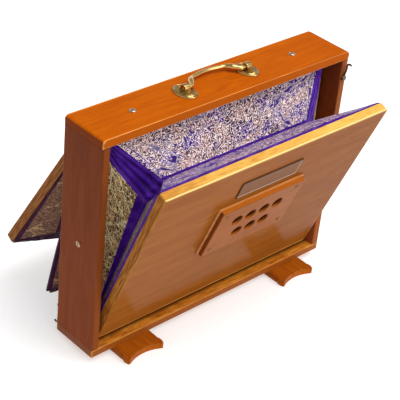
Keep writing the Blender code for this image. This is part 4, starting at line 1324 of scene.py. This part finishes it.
def gridShape(grid, normals, thickness, lift=0.0):
    # a closed sheet around the grid, with flat coordinates in metres on its faces
    shape = bmesh.new()
    flat, share = (shape.loops.layers.uv.new(name) for name in ("flat", "share"))
    rows, columns = len(grid), len(grid[0])
    where, faces, layers = {}, [], []
    for height in (lift + thickness / 2, lift - thickness / 2):
        layers.append([[shape.verts.new(point + normal * height) for point, normal in zip(*line)]
                       for line in zip(grid, normals)])
    run = [0.0]
    for i in range(1, rows):
        run.append(run[-1] + (grid[i][columns // 2] - grid[i - 1][columns // 2]).length)
    for i in range(rows):
        across = 0.0
        for n in range(columns):
            if n:
                across += (grid[i][n] - grid[i][n - 1]).length
            for layer in layers:
                where[layer[i][n]] = (run[i], across), (n / (columns - 1), 0.0)
    for i in range(rows - 1):
        for n in range(columns - 1):
            for layer in layers:
                faces.append((layer[i][n], layer[i][n + 1], layer[i + 1][n + 1], layer[i + 1][n]))
    rim = [(i, 0) for i in range(rows)] + [(rows - 1, n) for n in range(1, columns)]
    rim += [(i, columns - 1) for i in range(rows - 2, -1, -1)] + [(0, n) for n in range(columns - 2, 0, -1)]
    for (i, n), (k, m) in zip(rim, rim[1:] + rim[:1]):
        faces.append((layers[0][i][n], layers[0][k][m], layers[1][k][m], layers[1][i][n]))
    for corners in faces:
        for loop in shape.faces.new(corners).loops:
            loop[flat].uv, loop[share].uv = where[loop.vert]
    return shape


def gridArea(grid):
    total = 0.0
    for row, following in zip(grid, grid[1:]):
        for a, b, c, d in zip(row, row[1:], following[1:], following):
            total += ((b - a).cross(c - a).length + (c - a).cross(d - a).length) / 2
    return total


def runOf(points):
    return sum((b - a).length for a, b in zip(points, points[1:]))


def cutSize(grid):
    # the rectangle that a sheet is cut from
    return max(runOf(row) for row in grid), max(runOf(line) for line in zip(*grid))


def makeRibs(prefix, end, lines, sideDepth, endDepth, squash, sideFinish, endFinish):
    cut = bellowsCut
    ways = {"left": -right, "right": right, end: up if end == "top" else -up}
    for name, outward in ways.items():
        side = {"left": -1, "right": 1}.get(name, 0)
        rails = ribRails(lines, side, sideDepth, endDepth, name == end)
        grid = sheetGrid(rails, outward, cut["lengthSteps"], cut["ribSteps"], cut["bow"])
        normals = gridNormals(grid, outward)
        piece = addPiece(f"{prefix}_bellows_{name}", gridShape(grid, normals, cut["rib"]),
                         endFinish if name == end else sideFinish, "case", "brocade",
                         name=f"{prefix}Ribs{name.capitalize()}", **flowing)
        tapes = makeTapes(f"{prefix}{name.capitalize()}", grid, normals, satins[prefix + "Satin"])
        cutSize(grid)
        gridArea(grid)
        for each in (piece, *tapes):
            squash(each)


def makeTapes(name, grid, normals, satin):
    # satin strips glued over each crease and along the edge at the board
    last = len(grid[0]) - 1
    middle = grid[len(grid) // 2]
    crease, rim = tapeCut[name]
    rib, thick = bellowsCut["rib"], tapeCut["thick"]
    tapes = []
    for centre in range(bellowsCut["ribSteps"], last + 1, bellowsCut["ribSteps"]):
        reach = rim if centre == last else crease
        start, stop = centre, centre
        while start > 0 and (middle[start] - middle[centre]).length < reach:
            start -= 1
        while stop < last and (middle[stop] - middle[centre]).length < reach:
            stop += 1
        strip, over = ([row[start:stop + 1] for row in rows] for rows in (grid, normals))
        if stop == last:  # turned down over the rib's end
            for row, normal in zip(strip, over):
                out = (row[-1] - row[-2]).normalized()
                turn = row[-1] + out * tapeCut["turn"]
                row += [turn, turn - normal[-1] * rib]
                normal += [(normal[-1] + out).normalized(), out]
        shape = gridShape(strip, over, thick, (rib + thick) / 2 + tapeCut["glue"])
        label = f"{name}Tape{len(tapes) + 1}"
        tapes.append(addPiece(None, shape, satin, "case", "satin", name=label, **flowing))
    return tapes


# long: the cloth's length beside the corner's span; fill: how much of its rectangle the cloth takes up
gussetDrape = {
    "thick": 0.0009, "lap": 0.003, "long": 1.25, "fill": 0.6, "cuts": 14, "ease": 10, "easeShare": 0.5,
    "pleat": 0.0017, "pleats": 40.0, "waver": 4.5, "waverScale": 22.0, "crumple": 0.35, "crumpleScale": 90.0,
    "settle": 0.008, "near": 0.03, "edgeTone": 0.4,
}


def makeGussets(prefix, lines, sideDepth, endDepth, squash):
    lap = gussetDrape["lap"]
    depth, inset = sideDepth
    for name, side in (("left", -1), ("right", 1)):
        shape = bmesh.new()
        outer = [(edgePoint(line, side, line["inset"] + lap), endPoint(line, side, 0.0),
                  endPoint(line, side, line["inset"] + lap)) for line in lines]
        verts = [[shape.verts.new(p) for p in three] for three in outer]
        for k, (first, second) in enumerate(zip(lines, lines[1:])):
            s = shape.verts.new(sideFold(first, second, side, inset + lap, depth))
            e = shape.verts.new(endFold(first, second, side, bellowsCut["foldInset"] + lap, endDepth))
            a, b, c = verts[k]
            d, f, g = verts[k + 1]
            for three in ((a, b, s), (b, e, s), (b, c, e), (d, s, f), (f, s, e), (f, e, g)):
                shape.faces.new(three)
        area = sum(face.calc_area() for face in shape.faces)
        length = (outer[0][1] - outer[-1][1]).length * gussetDrape["long"]
        drape(shape, [three[1] for three in outer])
        outward = side * right + (up if prefix == "front" else -up)
        bmesh.ops.recalc_face_normals(shape, faces=shape.faces[:])
        if sum((f.normal.dot(outward) * f.calc_area() for f in shape.faces)) < 0:
            bmesh.ops.reverse_faces(shape, faces=shape.faces[:])
        bmesh.ops.solidify(shape, geom=shape.faces[:], thickness=gussetDrape["thick"])
        piece = addPiece(f"{prefix}_{name}_gusset", shape, satins[prefix + "SatinPleats"], "case", "satin",
                         name=f"{prefix}Gusset{name.capitalize()}", sharp=75.0, weighted=False)
        area / length / gussetDrape["fill"]
        squash(piece)


def drape(shape, corners):
    # fine mesh, eased creases and pleats that run from corner to corner
    work = gussetDrape
    bmesh.ops.subdivide_edges(shape, edges=shape.edges[:], cuts=work["cuts"], use_grid_fill=True)
    bmesh.ops.triangulate(shape, faces=[f for f in shape.faces if len(f.verts) > 4])
    border = [v for v in shape.verts if v.is_boundary]
    inner = [v for v in shape.verts if not v.is_boundary]
    for _ in range(work["ease"]):
        bmesh.ops.smooth_vert(shape, verts=inner, factor=work["easeShare"], use_axis_x=True, use_axis_y=True,
                              use_axis_z=True)
    tree = KDTree(len(border))
    for i, v in enumerate(border):
        tree.insert(v.co, i)
    tree.balance()
    shape.normal_update()
    waves, moves = {}, []
    for v in shape.verts:
        spans = zip(corners, corners[1:])
        first, second = min(spans, key=lambda span: (v.co - (span[0] + span[1]) / 2).length)
        axis = (second - first).normalized()
        arm = v.co - first
        arm -= axis * arm.dot(axis)
        turn = math.atan2(arm.dot(axis.cross(right)), abs(arm.dot(right)))
        wave = math.sin(work["pleats"] * turn + work["waver"] * noise.noise(v.co * work["waverScale"]))
        wave += noise.noise(v.co * work["crumpleScale"]) * work["crumple"]
        free = min(1.0, tree.find(v.co)[2] / work["settle"], arm.length / work["near"])
        waves[v] = 0.5 + 0.5 * wave * (work["edgeTone"] + (1 - work["edgeTone"]) * free)
        moves.append((v, v.normal * work["pleat"] * wave * free))
    for v, move in moves:
        v.co += move
    # each point's pleat height, kept for the satin's painted shade and highlight
    folds = shape.loops.layers.uv.new("folds")
    for face in shape.faces:
        for loop in face.loops:
            loop[folds].uv = (waves[loop.vert], 0.0)


def makeBellows():
    cut = bellowsCut
    flapHalf = frontWork["halfWidth"] - cut["edge"] / 2
    flapRun = frontWork["height"] - cut["edge"] / 2
    wide = innerHalf - cut["edge"]
    run = innerHigh - cut["edge"] - frontHinge.z
    seat = cut["seat"]

    def squashFront(piece):
        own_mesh(piece)

    def squashRear(piece):
        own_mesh(piece)

    fixed = station(partitionFront - seat, frontHinge.z, 0.0, 1, run, wide, cut["inset"])
    moving = station(frontHinge.y + seat * math.cos(frontOpen), frontHinge.z + seat * math.sin(frontOpen),
                     frontOpen, 1, flapRun, flapHalf, cut["boardInset"])
    makeRibs("front", "top", [fixed, moving], cut["frontSide"], cut["frontEnd"], squashFront,
             brocades["sideBrocade"], brocades["topBrocade"])
    makeGussets("front", [fixed, moving], cut["frontSide"], cut["frontEnd"], squashFront)
    print("front bellows made")
    fixed = station(partitionBack + seat, rearHinge.z, 0.0, -1, run, wide, cut["inset"])
    ridge = station(rearHinge.y, rearHinge.z, math.radians(cut["ridgeAngle"]), -1,
                    flapRun - cut["ridgeShort"], wide, cut["boardInset"])
    moving = station(rearHinge.y - seat * math.cos(rearOpen), rearHinge.z - seat * math.sin(rearOpen),
                     rearOpen, -1, flapRun, flapHalf, cut["inset"])
    lines = [fixed, ridge, moving]
    makeRibs("rear", "bottom", lines, cut["rearSide"], cut["rearEnd"], squashRear,
             brocades["rearBrocade"], brocades["rearBrocade"])
    makeGussets("rear", lines, cut["rearSide"], cut["rearEnd"], squashRear)
    print("rear bellows made")


makeBellows()


# leather: hinge strips and valve leaves

stripCut = {"thick": 0.001, "reach": 0.0075, "bend": 0.25, "lengthSteps": 60, "foldSteps": 8}
# intake and transfer: half width and half height
leafCut = {
    "thick": 0.0015, "intake": (0.05175, 0.0315), "transfer": (0.063, 0.018), "curl": 0.0004, "rows": 24,
    "columns": 32, "waver": 40, "waverLayer": 0.3,
}


def makeHingeStrip(end, hinge, sign, opening):
    # a strip folded over the joint between rail and board
    along = Vector((0.0, -math.sin(opening), math.cos(opening)))
    inward = Vector((0.0, math.cos(opening), math.sin(opening)))
    gap, half = frontWork["gap"], stripCut["thick"] / 2
    elbow = (half - math.sin(opening) * (gap + half)) / math.cos(opening)
    stops = [Vector((0.0, stripCut["reach"], half)), inward * (gap + half) + along * elbow,
             inward * (gap + half) + along * stripCut["reach"]]
    edges = [side * frontWork["halfWidth"] * right for side in (-1, 1)]
    rails = [[hinge + sign * stop + edge for edge in edges] for stop in stops]
    outward = (sign * (inward + up)).normalized()
    grid = sheetGrid(rails, outward, stripCut["lengthSteps"], stripCut["foldSteps"], 0.0)
    shape = gridShape(grid, gridNormals(grid, outward), stripCut["thick"])
    piece = addPiece(end + "_hinge_cloth", shape, leather, None, "leather", name=end + "HingeStrip",
                     **flowing)
    width, length = cutSize(grid)
    near = [hinge + sign * stops[1].lerp(stop, stripCut["bend"]) for stop in (stops[0], stops[2])]
    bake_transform(piece)


def makeLeaf(valve, place):
    # a leaf that hangs from its upper edge and lifts a little at the free one
    thick, rows, columns, waver = (leafCut[key] for key in ("thick", "rows", "columns", "waver"))
    across, rise = leafCut[valve]
    grid = []
    for i in range(rows + 1):
        z = -2 * rise * i / rows
        row = []
        for n in range(columns + 1):
            x = across * (2 * n / columns - 1)
            crumple = 0.5 + 0.5 * noise.noise(Vector((x * waver, z * waver, leafCut["waverLayer"])))
            lift = leafCut["curl"] * (i / rows) ** 2 * crumple
            row.append(Vector((x, thick / 2 + max(0.0, lift), z)))
        grid.append(row)
    node = valve + "_valve"
    piece = addPiece(node, gridShape(grid, gridNormals(grid, back), thick), leather, node, "leather", place,
                     name=valve + "Leaf", **flowing)


makeHingeStrip("front", frontHinge, 1, frontOpen)
makeHingeStrip("rear", rearHinge, -1, rearOpen)
makeLeaf("intake", Matrix.Translation(pivotOf("intake_valve_flap")) @ Matrix.Rotation(frontOpen, 4, "X"))
makeLeaf("transfer", Matrix.Translation(pivotOf("transfer_valve_flap")))
print("leather made")


# floor, light and camera

white = (1.0, 1.0, 1.0)
studio = {
    "sky": 0.62, "floorTone": 0.82, "floorGlow": 0.44, "floorHalf": 9.0, "stops": (0.0, 0.12, 0.5, 1.0),
    "ceiling": (white, white, (0.42, 0.41, 0.4), (0.25, 0.24, 0.23)),
}
lamps = {
    "overheadBox": {"place": (0.35, -0.55, 2.0), "aim": (0.0, 0.0, 0.2), "size": 1.5, "power": 23.0},
    "frontBox": {"place": (0.7, -2.0, 1.1), "aim": (0.0, 0.0, 0.15), "size": 1.1, "power": 11.0},
}
view = {
    "place": (-0.9981, -0.9928, 1.0567), "aim": (-0.00585, -0.0217, 0.14897), "roll": 6.172, "lens": 118.32,
    "sensor": 36.0,
}


def makeStudio():
    scene.world = bpy.data.worlds.new("studio")
    sky = Surface("studio", scene.world)
    height = sky.axis(sky.place("Generated"), "Z")
    ceiling = sky.ramp(height, studio["stops"], studio["ceiling"])
    light = sky.node("ShaderNodeBackground", {}, {"Color": white, "Strength": studio["sky"]})
    sky.swap("World Output", light, sky.node("ShaderNodeBackground", {}, {"Color": ceiling}))
    half = studio["floorHalf"]
    mesh = bpy.data.meshes.new("floor")
    corners = [(x * half, y * half, 0) for x, y in ((-1, -1), (1, -1), (1, 1), (-1, 1))]
    mesh.from_pydata(corners, [], [(0, 1, 2, 3)])
    floor = bpy.data.objects.new("floor", mesh)
    scene.collection.objects.link(floor)
    paper = Surface("floorPaper")
    tone = (studio["floorTone"],) * 3
    plain = paper.node("ShaderNodeBsdfDiffuse", {}, {"Color": tone})
    paper.wear(Base_Color=tone, Roughness=1.0, Specular_IOR_Level=0.0)
    mesh.materials.append(paper.wear(Emission_Color=white, Emission_Strength=studio["floorGlow"]))
    paper.swap("Material Output", plain, Wire(paper, paper.shader.outputs[0]))
    for name, lamp in lamps.items():
        data = bpy.data.lights.new(name, "AREA")
        data.energy, data.size = lamp["power"], lamp["size"]
        made = bpy.data.objects.new(name, data)
        made.location = lamp["place"]
        heading = Vector(lamp["aim"]) - Vector(lamp["place"])
        made.rotation_euler = heading.to_track_quat("-Z", "Y").to_euler()
        scene.collection.objects.link(made)


def makeCamera():
    data = bpy.data.cameras.new("camera")
    data.sensor_width, data.lens = view["sensor"], view["lens"]
    camera = bpy.data.objects.new("camera", data)
    scene.collection.objects.link(camera)
    away = (Vector(view["place"]) - Vector(view["aim"])).normalized()
    level = (-away).cross(up).normalized()
    upward = level.cross(-away)
    roll = math.radians(view["roll"])
    across = math.cos(roll) * level + math.sin(roll) * upward
    rise = math.cos(roll) * upward - math.sin(roll) * level
    turn = Matrix((across, rise, away)).transposed().to_4x4()
    camera.matrix_world = Matrix.Translation(view["place"]) @ turn
    scene.camera = camera


makeStudio()
makeCamera()
scene.view_settings.view_transform = "Standard"
